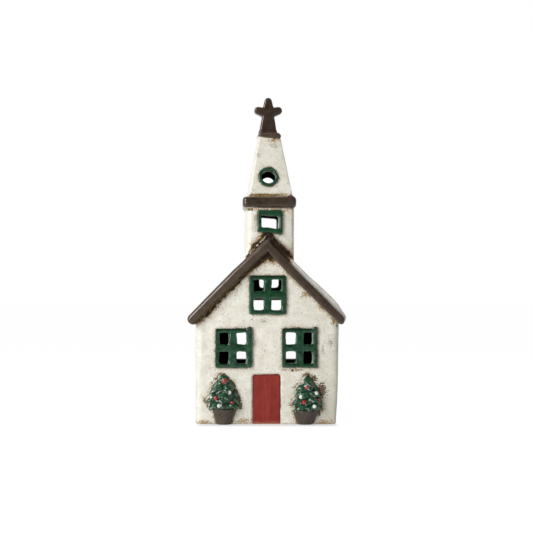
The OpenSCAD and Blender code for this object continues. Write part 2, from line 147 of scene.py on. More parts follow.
def read_rows(items, what, width, kind=float):
    """What each of a mesh's items holds, as rows of this width."""
    values = np.empty(len(items) * width, dtype=kind)
    items.foreach_get(what, values)
    return values.reshape(-1, width)


def mesh_points(mesh):
    return read_rows(mesh.vertices, "co", 3)


def mesh_edges(mesh):
    return read_rows(mesh.edges, "vertices", 2, np.int64)


def point_normals(mesh):
    return read_rows(mesh.vertex_normals, "vector", 3)


def move_points(mesh, points):
    mesh.vertices.foreach_set("co", points.ravel())
    mesh.update()


def neighbour_mean(points, edges, count):
    """Mean place of the points that each point shares an edge with."""
    total = np.empty_like(points)
    one, other = edges.T
    for axis in range(3):
        total[:, axis] = np.bincount(one, points[other, axis], len(points))
        total[:, axis] += np.bincount(other, points[one, axis], len(points))
    return total / count[:, None]


def smoothed(points, edges, rounds):
    """The points drawn half-way to their neighbours, this many times."""
    count = np.maximum(np.bincount(edges.ravel(), minlength=len(points)), 1)
    for _ in range(rounds):
        points = (points + neighbour_mean(points, edges, count)) / 2
    return points


def wavered(points, sway, ripple, knead=0.0):
    """The points moved as hand work moves them: slow sways all over, ripples and kneaded edges."""
    grounded = smoothstep(points[:, 2], 0, 10 * MM)
    moved = points.copy()
    for axis in range(3):
        free = grounded if axis == 2 else 1
        moved[:, axis] += sway * lumps(points, 42 * MM, 3 + axis) * free
        moved[:, axis] += ripple * lumps(points, 8 * MM, 13 + axis) * free
        moved[:, axis] += knead * lumps(points, 2.6 * MM, 23 + axis)
    return moved


def pressed(
    name, nodes, voxel, rounds,
    sway=0.3 * MM, ripple=0.1 * MM, knead=0.0, puff=0.0, fit=None, shape=None,
):
    """One clay skin round these CAD nodes, smoothed and then swollen a little by puff.

    fit moves a node's points first, to bury its joints, and shape moves the skin's points last.
    Both may change the points that they are given.
    """
    all_points, all_faces, start = [], [], 0
    for node in nodes:
        points, faces = solid(node)
        if fit:
            points = fit(node, points)
        all_points.append(points)
        all_faces += [[i + start for i in face] for face in faces]
        start += len(points)
    mesh = remeshed(mesh_from(name, np.concatenate(all_points), all_faces), voxel)
    points = smoothed(mesh_points(mesh), mesh_edges(mesh), rounds)
    if puff:
        mesh.vertices.foreach_set("co", points.ravel())
        points = points + puff * point_normals(mesh)
    points = wavered(points, sway, ripple, knead)
    if shape:
        points = smoothed(shape(points), mesh_edges(mesh), 2)
    move_points(mesh, points)
    return mesh


def cut(mesh, name, planes):
    """A closed piece of the mesh: what lies behind all these planes, (point, direction)."""
    bm = bmesh.new()
    bm.from_mesh(mesh)
    for point, direction in planes:
        geometry = bm.verts[:] + bm.edges[:] + bm.faces[:]
        result = bmesh.ops.bisect_plane(
            bm, geom=geometry, plane_co=point, plane_no=direction, clear_outer=True
        )
        rim = [g for g in result["geom_cut"] if isinstance(g, bmesh.types.BMEdge)]
        if rim:
            bmesh.ops.edgeloop_fill(bm, edges=rim)
        for edge in rim:
            edge.smooth = False
    piece_mesh = bpy.data.meshes.new(name)
    bm.to_mesh(piece_mesh)
    bm.free()
    return piece_mesh


def tower_direction(x, y):
    """A level direction drawn on the tower's own axes, in the row frame."""
    c, s = math.cos(TOWER_TWIST), math.sin(TOWER_TWIST)
    return Vector((x * c - y * s, x * s + y * c, 0))


def tower_axes(points):
    """Points as seen from the tower's own axes: across and through the tower."""
    c, s = math.cos(TOWER_TWIST), math.sin(TOWER_TWIST)
    dx, dy = points[:, 0] - RIDGE_X, points[:, 1] - TOWER_Y
    return dx * c + dy * s, -dx * s + dy * c


# ---- clay: what each point of a piece is near ----


def tree_of(meshes):
    """A search tree of these meshes' faces."""
    points, faces, start = [], [], 0
    for mesh in meshes:
        points += [v.co.copy() for v in mesh.vertices]
        faces += [[i + start for i in p.vertices] for p in mesh.polygons]
        start = len(points)
    return BVHTree.FromPolygons(points, faces)


def distances(points, tree, limit):
    """Distance of each point to the tree's surface, in millimetres, no more than the limit."""
    out = np.full(len(points), limit / MM)
    for i, p in enumerate(points):
        hit = tree.find_nearest(p, limit)
        if hit[3] is not None:
            out[i] = hit[3] / MM
    return out


def hollow_share(points):
    """1 inside the house, tower and spire, where the clay is bare, and 0 on the glazed outside."""
    x, y, z = points.T
    edge = 1.6 * MM
    roof_slope = (RIDGE_Z - EAVE_Z) / (HALF_HOUSE - np.sign(x) * RIDGE_X)
    roof_z = RIDGE_Z - np.abs(x - RIDGE_X) * roof_slope
    house = np.minimum.reduce([
        HALF_HOUSE - WALL_T - np.abs(x), BACK_Y - WALL_T - y, y - FRONT_Y - WALL_T, roof_z - z,
    ])
    across, through = np.abs(tower_axes(points))
    tower = np.minimum.reduce([
        TOWER_HOLLOW_HALF - across, TOWER_HOLLOW_HALF - through, z - roof_z, SPIRE_Z - z,
    ])
    down = (SPIRE_TOP_Z - z) / (SPIRE_TOP_Z - SPIRE_Z)
    spire_half = SPIRE_HOLLOW_HALF_TOP + SPIRE_HOLLOW_HALF_GAIN * down
    spire = np.minimum.reduce([
        spire_half - across, spire_half - through, z - SPIRE_Z + edge, SPIRE_TOP_Z - z,
    ])
    return smoothstep(np.maximum.reduce([house, tower, spire]), -edge, 0)


def keep(mesh, **values):
    """Keeps numbers on the mesh's points for its glaze to read."""
    for name, value in values.items():
        layer = mesh.attributes.new(name, "FLOAT", "POINT")
        layer.data.foreach_set("value", np.asarray(value, dtype=np.float32))


# How high a fine edge and a broad rise stand when the glaze breaks fully on them
EDGE_HIGH, RISE_HIGH = 0.12 * MM, 0.5 * MM


def keep_form(mesh, rounds=40):
    """Keeps where the piece is bare inside, its sharp edges, and its rises and valleys."""
    points, edges, normals = mesh_points(mesh), mesh_edges(mesh), point_normals(mesh)
    near = smoothed(points, edges, 6)
    far = smoothed(near, edges, rounds)
    ridge = np.einsum("ij,ij->i", points - near, normals) / EDGE_HIGH
    relief = np.einsum("ij,ij->i", points - far, normals) / RISE_HIGH
    keep(mesh, ridge=np.clip(ridge, -1, 1), relief=np.clip(relief, -1, 1))
    keep(mesh, bare=hollow_share(points))


def spots(points, places):
    """How stained each point of the front is by marks at these places.

    A place is x, z, half width and half height, in millimetres.
    """
    total = np.zeros(len(points))
    for x, z, wide, tall in places:
        apart = np.hypot((points[:, 0] / MM - x) / wide, (points[:, 2] / MM - z) / tall)
        total = np.maximum(total, swell(apart, 0, 1))
    return total * (points[:, 1] < TOWER_Y)


# ---- glazes: shared effects ----


def add(tree, kind, inputs=None, **settings):
    """A shader node with its settings, and its inputs as values or sockets."""
    made = tree.nodes.new("ShaderNode" + kind)
    for name, value in settings.items():
        setattr(made, name, value)
    for key, value in (inputs or {}).items():
        if isinstance(value, bpy.types.NodeSocket):
            tree.links.new(value, made.inputs[key])
        else:
            made.inputs[key].default_value = value
    return made


def calculate(tree, operation, first, second=0.0):
    return add(tree, "Math", {0: first, 1: second}, operation=operation).outputs[0]


def times(tree, first, second):
    return calculate(tree, "MULTIPLY", first, second)


def plus(tree, first, second):
    return calculate(tree, "ADD", first, second)


def minus(tree, first, second):
    return calculate(tree, "SUBTRACT", first, second)


# The Mix node's sockets for colours
MIX_FIRST, MIX_SECOND, MIX_RESULT = 6, 7, 2


def blended(tree, share, first, second):
    """Colour between first and second."""
    inputs = {0: share, MIX_FIRST: first, MIX_SECOND: second}
    return add(tree, "Mix", inputs, data_type="RGBA").outputs[MIX_RESULT]


def laid(tree, colour, over, mask, share):
    """The colour with another laid over it where the mask is, at this share."""
    return blended(tree, times(tree, mask, share), colour, over)


def ramp(tree, value, low, high, at_low=0.0, at_high=1.0):
    """A soft step between two values, over low to high."""
    inputs = {
        "Value": value, "From Min": low, "From Max": high, "To Min": at_low, "To Max": at_high,
    }
    return add(tree, "MapRange", inputs, interpolation_type="SMOOTHSTEP").outputs[0]


def rgb(r, g, b):
    """A colour written as a screen shows it, as the shader wants it."""
    def linear(c):
        c /= 255
        return c / 12.92 if c <= 0.04045 else ((c + 0.055) / 1.055) ** 2.4
    return (linear(r), linear(g), linear(b), 1)


def effect(name, inputs, outputs):
    """An empty node group with named inputs, (name, default), and outputs, (name, kind)."""
    tree = bpy.data.node_groups.new(name, "ShaderNodeTree")
    for label, default in inputs:
        kind = "NodeSocketColor" if isinstance(default, tuple) else "NodeSocketFloat"
        socket = tree.interface.new_socket(label, in_out="INPUT", socket_type=kind)
        socket.default_value = default
    for label, kind in outputs:
        tree.interface.new_socket(label, in_out="OUTPUT", socket_type="NodeSocket" + kind)
    ins, outs = tree.nodes.new("NodeGroupInput"), tree.nodes.new("NodeGroupOutput")
    return tree, ins.outputs, outs.inputs


def millimetres(tree):
    at = add(tree, "TexCoord").outputs["Object"]
    return add(tree, "VectorMath", {0: at, "Scale": 1 / MM}, operation="SCALE").outputs[0]


def height_up(tree):
    """Height above the ground, in millimetres."""
    return add(tree, "SeparateXYZ", {0: millimetres(tree)}).outputs["Z"]


def noise(tree, size, detail=2.0, rough=0.5, shift=0.0):
    """Noise whose lumps are about this many millimetres, a number or a socket."""
    at = millimetres(tree)
    if shift:
        at = add(tree, "VectorMath", {0: at, 1: (shift, shift, shift)}).outputs[0]
    scale = calculate(tree, "DIVIDE", 1.0, size)
    inputs = {"Vector": at, "Scale": scale, "Detail": detail, "Roughness": rough}
    return add(tree, "TexNoise", inputs).outputs[0]


def swing(tree, *noise_values):
    """Noise that swings about zero."""
    return minus(tree, noise(tree, *noise_values), 0.5)


def mottle_effect():
    """Colour that drifts between two glaze colours, thick and thin."""
    tree, ins, outs = effect(
        "mottle",
        [("Thin", (1, 1, 1, 1)), ("Thick", (0, 0, 0, 1)), ("Size", 12.0), ("Contrast", 0.5)],
        [("Color", "Color")],
    )
    broad = noise(tree, ins["Size"], 3.0, 0.6)
    fine = times(tree, swing(tree, times(tree, ins["Size"], 0.14), 2.0, 0.5, 31.0), 0.45)
    reach = times(tree, ins["Contrast"], 0.3)
    share = ramp(tree, plus(tree, fine, broad), minus(tree, 0.5, reach), plus(tree, 0.5, reach))
    tree.links.new(blended(tree, share, ins["Thin"], ins["Thick"]), outs["Color"])
    return tree


def specks_effect():
    """Small iron specks, in drifts."""
    tree, ins, outs = effect("iron_specks", [("Size", 0.8), ("Amount", 0.5)], [("Mask", "Float")])
    grain = noise(tree, ins["Size"], 1.0, 0.4, 7.0)
    drift = swing(tree, 11.0, 2.0, 0.5, 51.0)
    level = minus(tree, 0.8, times(tree, ins["Amount"], 0.3))
    level = minus(tree, level, times(tree, drift, 0.3))
    tree.links.new(ramp(tree, minus(tree, grain, level), 0.0, 0.07), outs["Mask"])
    return tree


def bleed_effect():
    """A ragged band of other glaze that has run from a piece nearby, and the rust past its rim.

    Away is in millimetres, and is below zero inside the band.
    """
    tree, ins, outs = effect(
        "glaze_bleed",
        [("Away", 9.0), ("Ragged", 0.4), ("Rust", 1.5), ("Patchy", 0.5)],
        [("Band", "Float"), ("Rim", "Float")],
    )
    coarse, fine = swing(tree, 2.6, 3.0, 0.7, 11.0), swing(tree, 0.8, 1.0, 0.5, 23.0)
    jitter = plus(tree, coarse, times(tree, fine, 0.8))
    past = plus(tree, ins["Away"], times(tree, jitter, times(tree, ins["Ragged"], 4.0)))
    tree.links.new(ramp(tree, past, -0.2, 0.2, 1.0, 0.0), outs["Band"])
    gate = noise(tree, 1.0, 2.0, 0.7, 3.0)
    faded = times(tree, calculate(tree, "DIVIDE", past, ins["Rust"]), 0.2)
    level = plus(tree, times(tree, ins["Patchy"], 0.2), 0.36)
    patchy = minus(tree, plus(tree, level, faded), gate)
    tree.links.new(ramp(tree, patchy, -0.04, 0.05, 1.0, 0.0), outs["Rim"])
    return tree


def peel_effect():
    """Height of a glaze's surface, in millimetres: orange peel and slow dimples."""
    tree, ins, outs = effect(
        "orange_peel", [("Peel", 0.05), ("Dimple", 0.1)], [("Height", "Float")]
    )
    peel = times(tree, noise(tree, 1.6, 2.0, 0.5, 5.0), ins["Peel"])
    dimple = times(tree, noise(tree, 5.5, 2.0, 0.45, 15.0), ins["Dimple"])
    tree.links.new(plus(tree, peel, dimple), outs["Height"])
    return tree


MOTTLE, SPECKS, BLEED, PEEL = mottle_effect(), specks_effect(), bleed_effect(), peel_effect()


def use(tree, group, inputs):
    """A shared effect placed in a material with its own values."""
    return add(tree, "Group", inputs, node_tree=group).outputs


def mottled(tree, thin, thick, size, contrast):
    """A colour that drifts between thin and thick glaze, in patches of this many millimetres."""
    values = {"Thin": thin, "Thick": thick, "Size": size, "Contrast": contrast}
    return use(tree, MOTTLE, values)["Color"]


def speckled(tree, size, amount):
    return use(tree, SPECKS, {"Size": size, "Amount": amount})["Mask"]


def bled(tree, away, ragged, rust, patchy):
    return use(tree, BLEED, {"Away": away, "Ragged": ragged, "Rust": rust, "Patchy": patchy})


def kept(tree, name):
    """A number that was kept on the mesh's points."""
    return add(tree, "Attribute", attribute_name=name).outputs["Fac"]


def blank_tree(owner):
    """The emptied node tree of a material or a world."""
    owner.use_nodes = True
    owner.node_tree.nodes.clear()
    return owner.node_tree


def new_material(name, roughness, specular, peel, dimple):
    """A material with its surface: returns it, its node tree and its shader's inputs."""
    material = bpy.data.materials.new(name)
    tree = blank_tree(material)
    height = use(tree, PEEL, {"Peel": peel, "Dimple": dimple})["Height"]
    bump = add(tree, "Bump", {"Height": height, "Strength": 1.0, "Distance": MM})
    shader = add(tree, "BsdfPrincipled", {
        "Roughness": roughness, "Specular IOR Level": specular, "Normal": bump.outputs[0],
    })
    add(tree, "OutputMaterial", {0: shader.outputs[0]})
    return material, tree, shader.inputs


# ---- glazes: the finishes ----

CREAM_THIN = rgb(237, 234, 223)
CREAM_THICK = rgb(220, 216, 201)
CREAM_SHADE = rgb(184, 178, 158)
# The white of the painted highlight beside the trees
FROST = rgb(246, 245, 236)
IRON = rgb(112, 98, 76)
RUST = rgb(120, 82, 36)
GOLD = rgb(178, 142, 72)
OLIVE = rgb(120, 106, 66)
DARK_BROWN = rgb(32, 22, 15)


def rusty(tree):
    return mottled(tree, GOLD, RUST, 2.4, 0.6)


def smoky(tree):
    return mottled(tree, OLIVE, DARK_BROWN, 1.8, 0.6)


def clay_colour(tree):
    return mottled(tree, rgb(56, 38, 28), rgb(34, 22, 16), 6.0, 0.8)


def cream_glaze(name, thin, thick, shade):
    """White glaze over iron clay: mottled and specked, and rusting beside the other pieces."""
    material, tree, shader = new_material(name, 0.3, 0.35, 0.09, 0.22)
    colour = mottled(tree, thin, thick, 7.0, 0.7)
    colour = laid(tree, colour, shade, speckled(tree, 1.3, 0.74), 0.2)
    colour = laid(tree, colour, IRON, speckled(tree, 0.8, 0.36), 0.42)
    # painted shade: the darker cream where kept, low and to the right on the house, on its left rim
    # and up the spire
    colour = blended(tree, kept(tree, "thin_glaze"), colour, CREAM_SHADE)
    # painted highlight: near-white on the left of the trees, the side that faces the lamps
    colour = laid(tree, colour, FROST, kept(tree, "frost"), 0.9)
    rust, smoke = rusty(tree), smoky(tree)
    soot = mottled(tree, rgb(84, 68, 50), rgb(28, 22, 16), 1.1, 0.8)
    umber = mottled(tree, rgb(82, 62, 38), DARK_BROWN, 1.8, 0.5)
    dark = mottled(tree, rgb(76, 57, 38), DARK_BROWN, 1.6, 0.4)

    # clusters of fine dots and of gold where the iron has come through, and sooty patches
    for mark, size, strength, over, share in (
        ("stain", 0.8, 0.29, IRON, 0.6),
        ("gold", 1.1, 0.4, rust, 0.8),
        ("smoke", 1.2, 0.6, soot, 0.92),
    ):
        grain = noise(tree, size, 1.0, 0.5, 61.0)
        marked = plus(tree, grain, times(tree, kept(tree, mark), strength))
        colour = laid(tree, colour, over, ramp(tree, marked, 0.7, 0.78), share)

    # thin brown outlines round the windows, the door and the trees, and gold past them
    for away, ragged, rim, over, share in (
        ("green_run", 0.45, 2.0, smoke, 0.6), ("plant_run", 0.6, 2.2, umber, 0.75),
    ):
        run = bled(tree, kept(tree, away), ragged, rim, 0.45)
        colour = laid(tree, colour, rust, run["Rim"], share)
        colour = laid(tree, colour, over, run["Band"], 0.9)

    # the foot of the walls, where glaze was wiped off
    foot = bled(tree, height_up(tree), 0.45, 1.7, 0.35)
    colour = laid(tree, colour, rust, foot["Rim"], 0.7)

    # brown glaze that has run from the strip, the tower's joint, the cornice and the cap
    away = kept(tree, "brown_run")
    run = bled(tree, away, 0.7, 2.6, 0.35)
    broken = plus(tree, noise(tree, 1.2, 1.0, 0.5, 71.0), times(tree, away, 0.1))
    colour = laid(tree, colour, rust, run["Rim"], 0.85)
    colour = laid(tree, colour, rust, run["Band"], 0.9)
    colour = laid(tree, colour, dark, run["Band"], ramp(tree, broken, 0.44, 0.54, 1.0, 0.15))

    # the green that was brushed into the window holes, and pale painted light on the side of each
    # hole that faces the lamps
    colour = blended(tree, kept(tree, "brushed"), colour, rgb(22, 48, 32))
    colour = blended(tree, kept(tree, "lip"), colour, rgb(178, 192, 178))

    # bare clay in the hollow
    bare = kept(tree, "bare")
    tree.links.new(blended(tree, bare, colour, clay_colour(tree)), shader["Base Color"])
    tree.links.new(ramp(tree, bare, 0.0, 1.0, 0.3, 0.85), shader["Roughness"])
    return material


def breaking_glaze(
    name, thin, thick, edge, pool, size, roughness, specular,
    edge_share=0.6, pool_share=0.7, peel=0.06, dimple=0.2,
):
    """Coloured glaze that pales or rusts on its edges, pools darker in valleys, and is darker where
    it sits on the wall, as pooled glaze and painted contact shade.
    """
    material, tree, shader = new_material(name, roughness, specular, peel, dimple)
    colour = mottled(tree, thin, thick, size, 0.8)
    pooled = ramp(tree, kept(tree, "relief"), -0.9, 0.25, 1.0, 0.0)
    colour = laid(tree, colour, pool, pooled, pool_share)
    wander = times(tree, swing(tree, 1.8, 2.0, 0.6, 41.0), 1.6)
    seat = kept(tree, "seat")
    thinned = minus(tree, plus(tree, kept(tree, "ridge"), wander), seat)
    colour = laid(tree, colour, edge, ramp(tree, thinned, 0.45, 1.1), edge_share)
    # pooled glaze and painted contact shade: darker where the piece sits on the wall
    colour = laid(tree, colour, pool, seat, 0.85)
    drift = noise(tree, 4.0, 2.0, 0.5, 19.0)
    roughness = ramp(tree, drift, 0.3, 0.7, roughness * 0.8, roughness * 1.4)
    tree.links.new(roughness, shader["Roughness"])
    return material, tree, shader, colour


def coloured(*values, **more):
    """A breaking glaze with nothing else on it."""
    material, tree, shader, colour = breaking_glaze(*values, **more)
    tree.links.new(colour, shader["Base Color"])
    return material


def brown_glaze(name):
    """Brown glaze, paler in places and painted lighter on the strip's left arm, scorched in places,
    with the wall's cream crept over it.
    """
    material, tree, shader, colour = breaking_glaze(
        name, rgb(66, 53, 42), rgb(47, 36, 27), rgb(96, 76, 57), rgb(28, 19, 13), size=5.0,
        roughness=0.17, specular=0.5, edge_share=0.5, pool_share=0.4, peel=0.02, dimple=0.12,
    )
    # paler brown where kept; on the strip's left arm this is painted light from the lamps on the
    # left
    colour = laid(tree, colour, rgb(104, 90, 77), kept(tree, "pale"), 0.7)
    scorched = kept(tree, "scorched")
    patches = plus(tree, noise(tree, 1.6, 2.0, 0.6, 83.0), times(tree, scorched, 0.3))
    colour = laid(tree, colour, smoky(tree), ramp(tree, patches, 0.66, 0.76), 0.8)
    tree.links.new(ramp(tree, scorched, 0.2, 0.8, 0.5, 0.06), shader["Specular IOR Level"])
    glossy = shader["Roughness"].links[0].from_socket
    roughness = calculate(tree, "MAXIMUM", glossy, times(tree, scorched, 0.75))
    tree.links.new(roughness, shader["Roughness"])
    creep = bled(tree, kept(tree, "creep"), 0.35, 0.7, 0.5)
    cream = mottled(tree, CREAM_THIN, CREAM_THICK, 7.0, 0.8)
    colour = laid(tree, colour, rusty(tree), creep["Rim"], 0.8)
    tree.links.new(blended(tree, creep["Band"], colour, cream), shader["Base Color"])
    return material


def door_glaze(name):
    """Red glaze brushed on upright, dark at its edges and spotted at its foot."""
    material, tree, shader, colour = breaking_glaze(
        name, rgb(144, 50, 42), rgb(129, 42, 34), rgb(104, 36, 29), rgb(84, 26, 20),
        size=8.0, roughness=0.4, specular=0.2,
    )
    stretch = {0: millimetres(tree), 1: (1.0, 1.0, 0.06)}
    upright = add(tree, "VectorMath", stretch, operation="MULTIPLY").outputs[0]
    strokes = {"Vector": upright, "Scale": 0.42, "Detail": 2.0, "Roughness": 0.5}
    streaks = ramp(tree, add(tree, "TexNoise", strokes).outputs[0], 0.46, 0.7)
    colour = laid(tree, colour, rgb(164, 66, 56), streaks, 0.35)
    foot = bled(tree, height_up(tree), 0.5, 2.4, 0.2)
    colour = laid(tree, colour, rgb(176, 118, 92), foot["Rim"], 0.6)
    tree.links.new(colour, shader["Base Color"])
    return material


def bare_clay(name):
    material, tree, shader = new_material(name, 0.85, 0.25, 0.12, 0.2)
    colour = laid(tree, clay_colour(tree), rgb(112, 82, 60), speckled(tree, 0.7, 0.7), 0.5)
    tree.links.new(colour, shader["Base Color"])
    return material


def joint_glaze(name):
    """Near-black glaze in the tower's joint, broken by cream and gold where it was wiped."""
    material, tree, shader, colour = breaking_glaze(
        name, rgb(30, 20, 12), rgb(14, 9, 6), rgb(64, 44, 26), rgb(10, 7, 5),
        size=1.6, roughness=0.3, specular=0.2,
    )
    worn = mottled(tree, CREAM_THIN, GOLD, 2.0, 0.5)
    wiped = times(tree, kept(tree, "wiped"), 0.12)
    shown = ramp(tree, plus(tree, noise(tree, 1.5, 2.0, 0.6, 67.0), wiped), 0.62, 0.7)
    tree.links.new(blended(tree, shown, colour, worn), shader["Base Color"])
    return material


WALL_GLAZE = cream_glaze("cream_wall_glaze", CREAM_THIN, CREAM_THICK, CREAM_SHADE)
ROOF_GLAZE = cream_glaze(
    "pale_roof_glaze", rgb(226, 225, 217), rgb(208, 205, 194), rgb(178, 173, 158)
)
GREEN_GLAZE = coloured(
    "window_green_glaze", rgb(30, 76, 49), rgb(11, 49, 27), rgb(92, 136, 106), rgb(3, 22, 9),
    size=4.0, roughness=0.14, specular=0.5, edge_share=0.2, pool_share=0.8,
)
BROWN_GLAZE = brown_glaze("strip_brown_glaze")
RED_GLAZE = door_glaze("door_red_glaze")
POT_GLAZE = coloured(
    "pot_grey_glaze", rgb(78, 67, 55), rgb(58, 49, 39), rgb(56, 44, 34), rgb(34, 24, 17),
    size=5.0, roughness=0.3, specular=0.4,
)
LEAF_GLAZE = coloured(
    "leaf_green_glaze", rgb(36, 88, 56), rgb(8, 52, 26), rgb(140, 172, 150), rgb(2, 28, 10),
    size=3.0, roughness=0.14, specular=0.9, edge_share=0.15, pool_share=0.9,
)
JOINT_GLAZE = joint_glaze("tower_joint_glaze")
RED_BEAD = coloured(
    "red_bead_glaze", rgb(176, 28, 32), rgb(136, 16, 20), rgb(196, 64, 58), rgb(120, 14, 18),
    size=2.0, roughness=0.12, specular=1.0, edge_share=0.2,
)
WHITE_BEAD = coloured(
    "white_bead_glaze",
    rgb(238, 238, 232), rgb(216, 218, 210), rgb(248, 246, 240), rgb(180, 186, 172),
    size=2.0, roughness=0.1, specular=0.5,
)
CLAY = bare_clay("bare_clay")


# ---- the pieces ----


def put_piece(node, mesh, material):
    """Puts the finished mesh in the scene in place of its CAD node, under the root body."""
    mesh.polygons.foreach_set("use_smooth", np.ones(len(mesh.polygons), dtype=bool))
    mesh.materials.clear()
    mesh.materials.append(material)
    obj = bpy.data.objects.new(node + "_glazed", mesh)
    bpy.context.scene.collection.objects.link(obj)
    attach(obj, "root")
    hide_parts(node)


def house_fit(node, points):
    """Walls reach a little into the roof and into each other, so that no joint gapes."""
    if node in ("left_wall", "right_wall"):
        middle = (FRONT_Y + BACK_Y) / 2
        points[:, 1] += np.sign(points[:, 1] - middle) * 3 * MM
    points[points[:, 2] > EAVE_Z - 1 * MM, 2] += 1 * MM
    return points


# How far the side of a pane's hole leans in behind its frame, left pane and right pane
HOLE_LEANS = {
    "left_window_frame": (1.7 * MM, 1.7 * MM),
    "right_window_frame": (0.6 * MM, 2.0 * MM),
    "gable_window_frame": (0.9 * MM, 1.2 * MM),
}
PANES_SHIFT = {"left_window_frame": -0.9 * MM, "right_window_frame": -0.8 * MM}
FOOT_DRAWN_IN = 0.8 * MM


def panes_shifted(points):
    """The two lower windows' bars sit a little left of the middle of their frames."""
    border = 2.2 * MM
    for node, shift in PANES_SHIFT.items():
        lo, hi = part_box(node)
        inner = within(points[:, 0], lo.x + border, hi.x - border, border)
        inner = inner * within(points[:, 2], lo.z + border, hi.z - border, border)
        points[:, 0] += shift * inner * (points[:, 1] < FRONT_Y + 2 * WALL_T)
    return points


def holes_cut(points):
    """Holes cut by hand: behind the frame, the right side of each leans in and shows.

    The foot of the house's right edge draws in.
    """
    inward = smoothstep(points[:, 1], FRONT_Y + 0.5 * MM, FRONT_Y + WALL_T)
    inward = inward * (points[:, 1] < FRONT_Y + 2 * WALL_T)
    for node, leans in HOLE_LEANS.items():
        lo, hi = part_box(node)
        middle = (lo.x + hi.x) / 2
        tall = within(points[:, 2], lo.z + FRAME_BORDER, hi.z - FRAME_BORDER, MM)
        for right_side, lean in zip((middle - MULLION_W / 2, hi.x - FRAME_BORDER), leans):
            near = swell(points[:, 0], right_side, 1.5 * MM)
            points[:, 0] -= lean * inward * near * tall
    on_right = smoothstep(points[:, 0], 40 * MM, HALF_HOUSE)
    points[:, 0] -= FOOT_DRAWN_IN * on_right * smoothstep(points[:, 2], 26 * MM, 0)
    return panes_shifted(points)


house_nodes = ["front_wall", "back_wall", "left_wall", "right_wall"]
house = pressed("house", house_nodes, 0.8 * MM, 5, fit=house_fit, shape=holes_cut)
front_seam = (0, FRONT_Y + WALL_T + 1.2 * MM, 0)
back_seam = (0, BACK_Y - WALL_T - 1.2 * MM, 0)
TO_BACK, TO_FRONT, TO_RIGHT, TO_LEFT = (0, 1, 0), (0, -1, 0), (1, 0, 0), (-1, 0, 0)
walls = {
    "front_wall": cut(house, "front_wall_clay", [(front_seam, TO_BACK)]),
    "back_wall": cut(house, "back_wall_clay", [(back_seam, TO_FRONT)]),
}
between = [(front_seam, TO_FRONT), (back_seam, TO_BACK)]
walls["left_wall"] = cut(house, "left_wall_clay", between + [((0, 0, 0), TO_RIGHT)])
walls["right_wall"] = cut(house, "right_wall_clay", between + [((0, 0, 0), TO_LEFT)])

roof = pressed("roof", ["left_roof_slab", "right_roof_slab"], 0.85 * MM, 5, sway=0.4 * MM)
ridge = (RIDGE_X, 0, 0)
slabs = {
    "left_roof_slab": cut(roof, "left_slab_clay", [(ridge, TO_RIGHT)]),
    "right_roof_slab": cut(roof, "right_slab_clay", [(ridge, TO_LEFT)]),
}


def tower_fit(node, points):
    """The tower reaches down into the roof and up into the cornice, and its corners close."""
    low = points[:, 2] < SPIRE_Z - 20 * MM
    points[low & (points[:, 2] < RIDGE_Z + 14 * MM), 2] -= 1.2 * MM
    points[points[:, 2] > cornice_lo.z - 1 * MM, 2] += 1 * MM
    if node in ("tower_left_wall", "tower_right_wall"):
        across, through = tower_axes(points)
        longer = through + np.sign(through) * 1.5 * MM
        c, s = math.cos(TOWER_TWIST), math.sin(TOWER_TWIST)
        points[:, 0] = RIDGE_X + across * c - longer * s
        points[:, 1] = TOWER_Y + across * s + longer * c
    return points


def tower_slant(points):
    """The tower's two openings and their frame are cut askew, lower on the right."""
    across, through = tower_axes(points)
    lo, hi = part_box("tower_window_frame")
    near = within(across, -10 * MM, 10 * MM, 3 * MM)
    near = near * within(points[:, 2], lo.z + 3 * MM, hi.z - 3 * MM, 4 * MM)
    points[:, 2] -= 0.07 * across * near
    inward = smoothstep(-through, TOWER_HOLLOW_HALF + 5 * MM, TOWER_HOLLOW_HALF)
    lean = 1.4 * MM * inward * (through < 0) * swell(across, 7.2 * MM, 1.5 * MM)
    points[:, 0] -= lean * within(points[:, 2], lo.z + 4.5 * MM, hi.z - 4.5 * MM, MM)
    return points


tower_nodes = ["tower_front_wall", "tower_back_wall", "tower_left_wall", "tower_right_wall"]
tower = pressed("tower", tower_nodes, 0.6 * MM, 5, fit=tower_fit, shape=tower_slant)
axis = Vector((RIDGE_X, TOWER_Y, 0))
front, back = tower_direction(0, -1), tower_direction(0, 1)
left, right = tower_direction(-1, 0), tower_direction(1, 0)
cut_away = TOWER_HOLLOW_HALF - 1 * MM
front_cut, back_cut = axis + front * cut_away, axis + back * cut_away
between = [(front_cut, front), (back_cut, back)]
for side, planes in (
    ("front", [(front_cut, back)]), ("back", [(back_cut, front)]),
    ("left", between + [(axis, right)]), ("right", between + [(axis, left)]),
):
    walls["tower_%s_wall" % side] = cut(tower, "tower_%s_clay" % side, planes)


def spire_fit(node, points):
    """The spire stands a little in the cornice and in its cap."""
    points[points[:, 2] < SPIRE_Z + 1 * MM, 2] -= 0.8 * MM
    points[points[:, 2] > SPIRE_TOP_Z - 1 * MM, 2] += 0.8 * MM
    return points


spire_nodes = ["spire_front_wall", "spire_back_wall", "spire_left_wall", "spire_right_wall"]
spire = pressed("spire", spire_nodes, 0.6 * MM, 4, fit=spire_fit)
front_left, front_right = (front + left).normalized(), (front + right).normalized()
for side, sign, other in (("front", -1, -1), ("back", 1, 1), ("left", -1, 1), ("right", 1, -1)):
    planes = [(axis, sign * front_left), (axis, other * front_right)]
    walls["spire_%s_wall" % side] = cut(spire, "spire_%s_clay" % side, planes)


def knobbed(points, x, z, radius, push):
    """A soft knob of glaze pushed up and out round a point of a frame, all in millimetres."""
    apart = np.hypot(points[:, 0] / MM - x, points[:, 2] / MM - z) / radius
    lift = push * MM * swell(apart, 0, 1)
    points[:, 2] += lift
    points[:, 1] -= np.abs(lift) * 0.6
    return points


def frame_corner(node, up=True):
    """The right-hand corner of a window frame, in millimetres."""
    lo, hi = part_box(node)
    return hi.x / MM - 2.2, (hi.z / MM - 1.4 if up else lo.z / MM + 0.6)


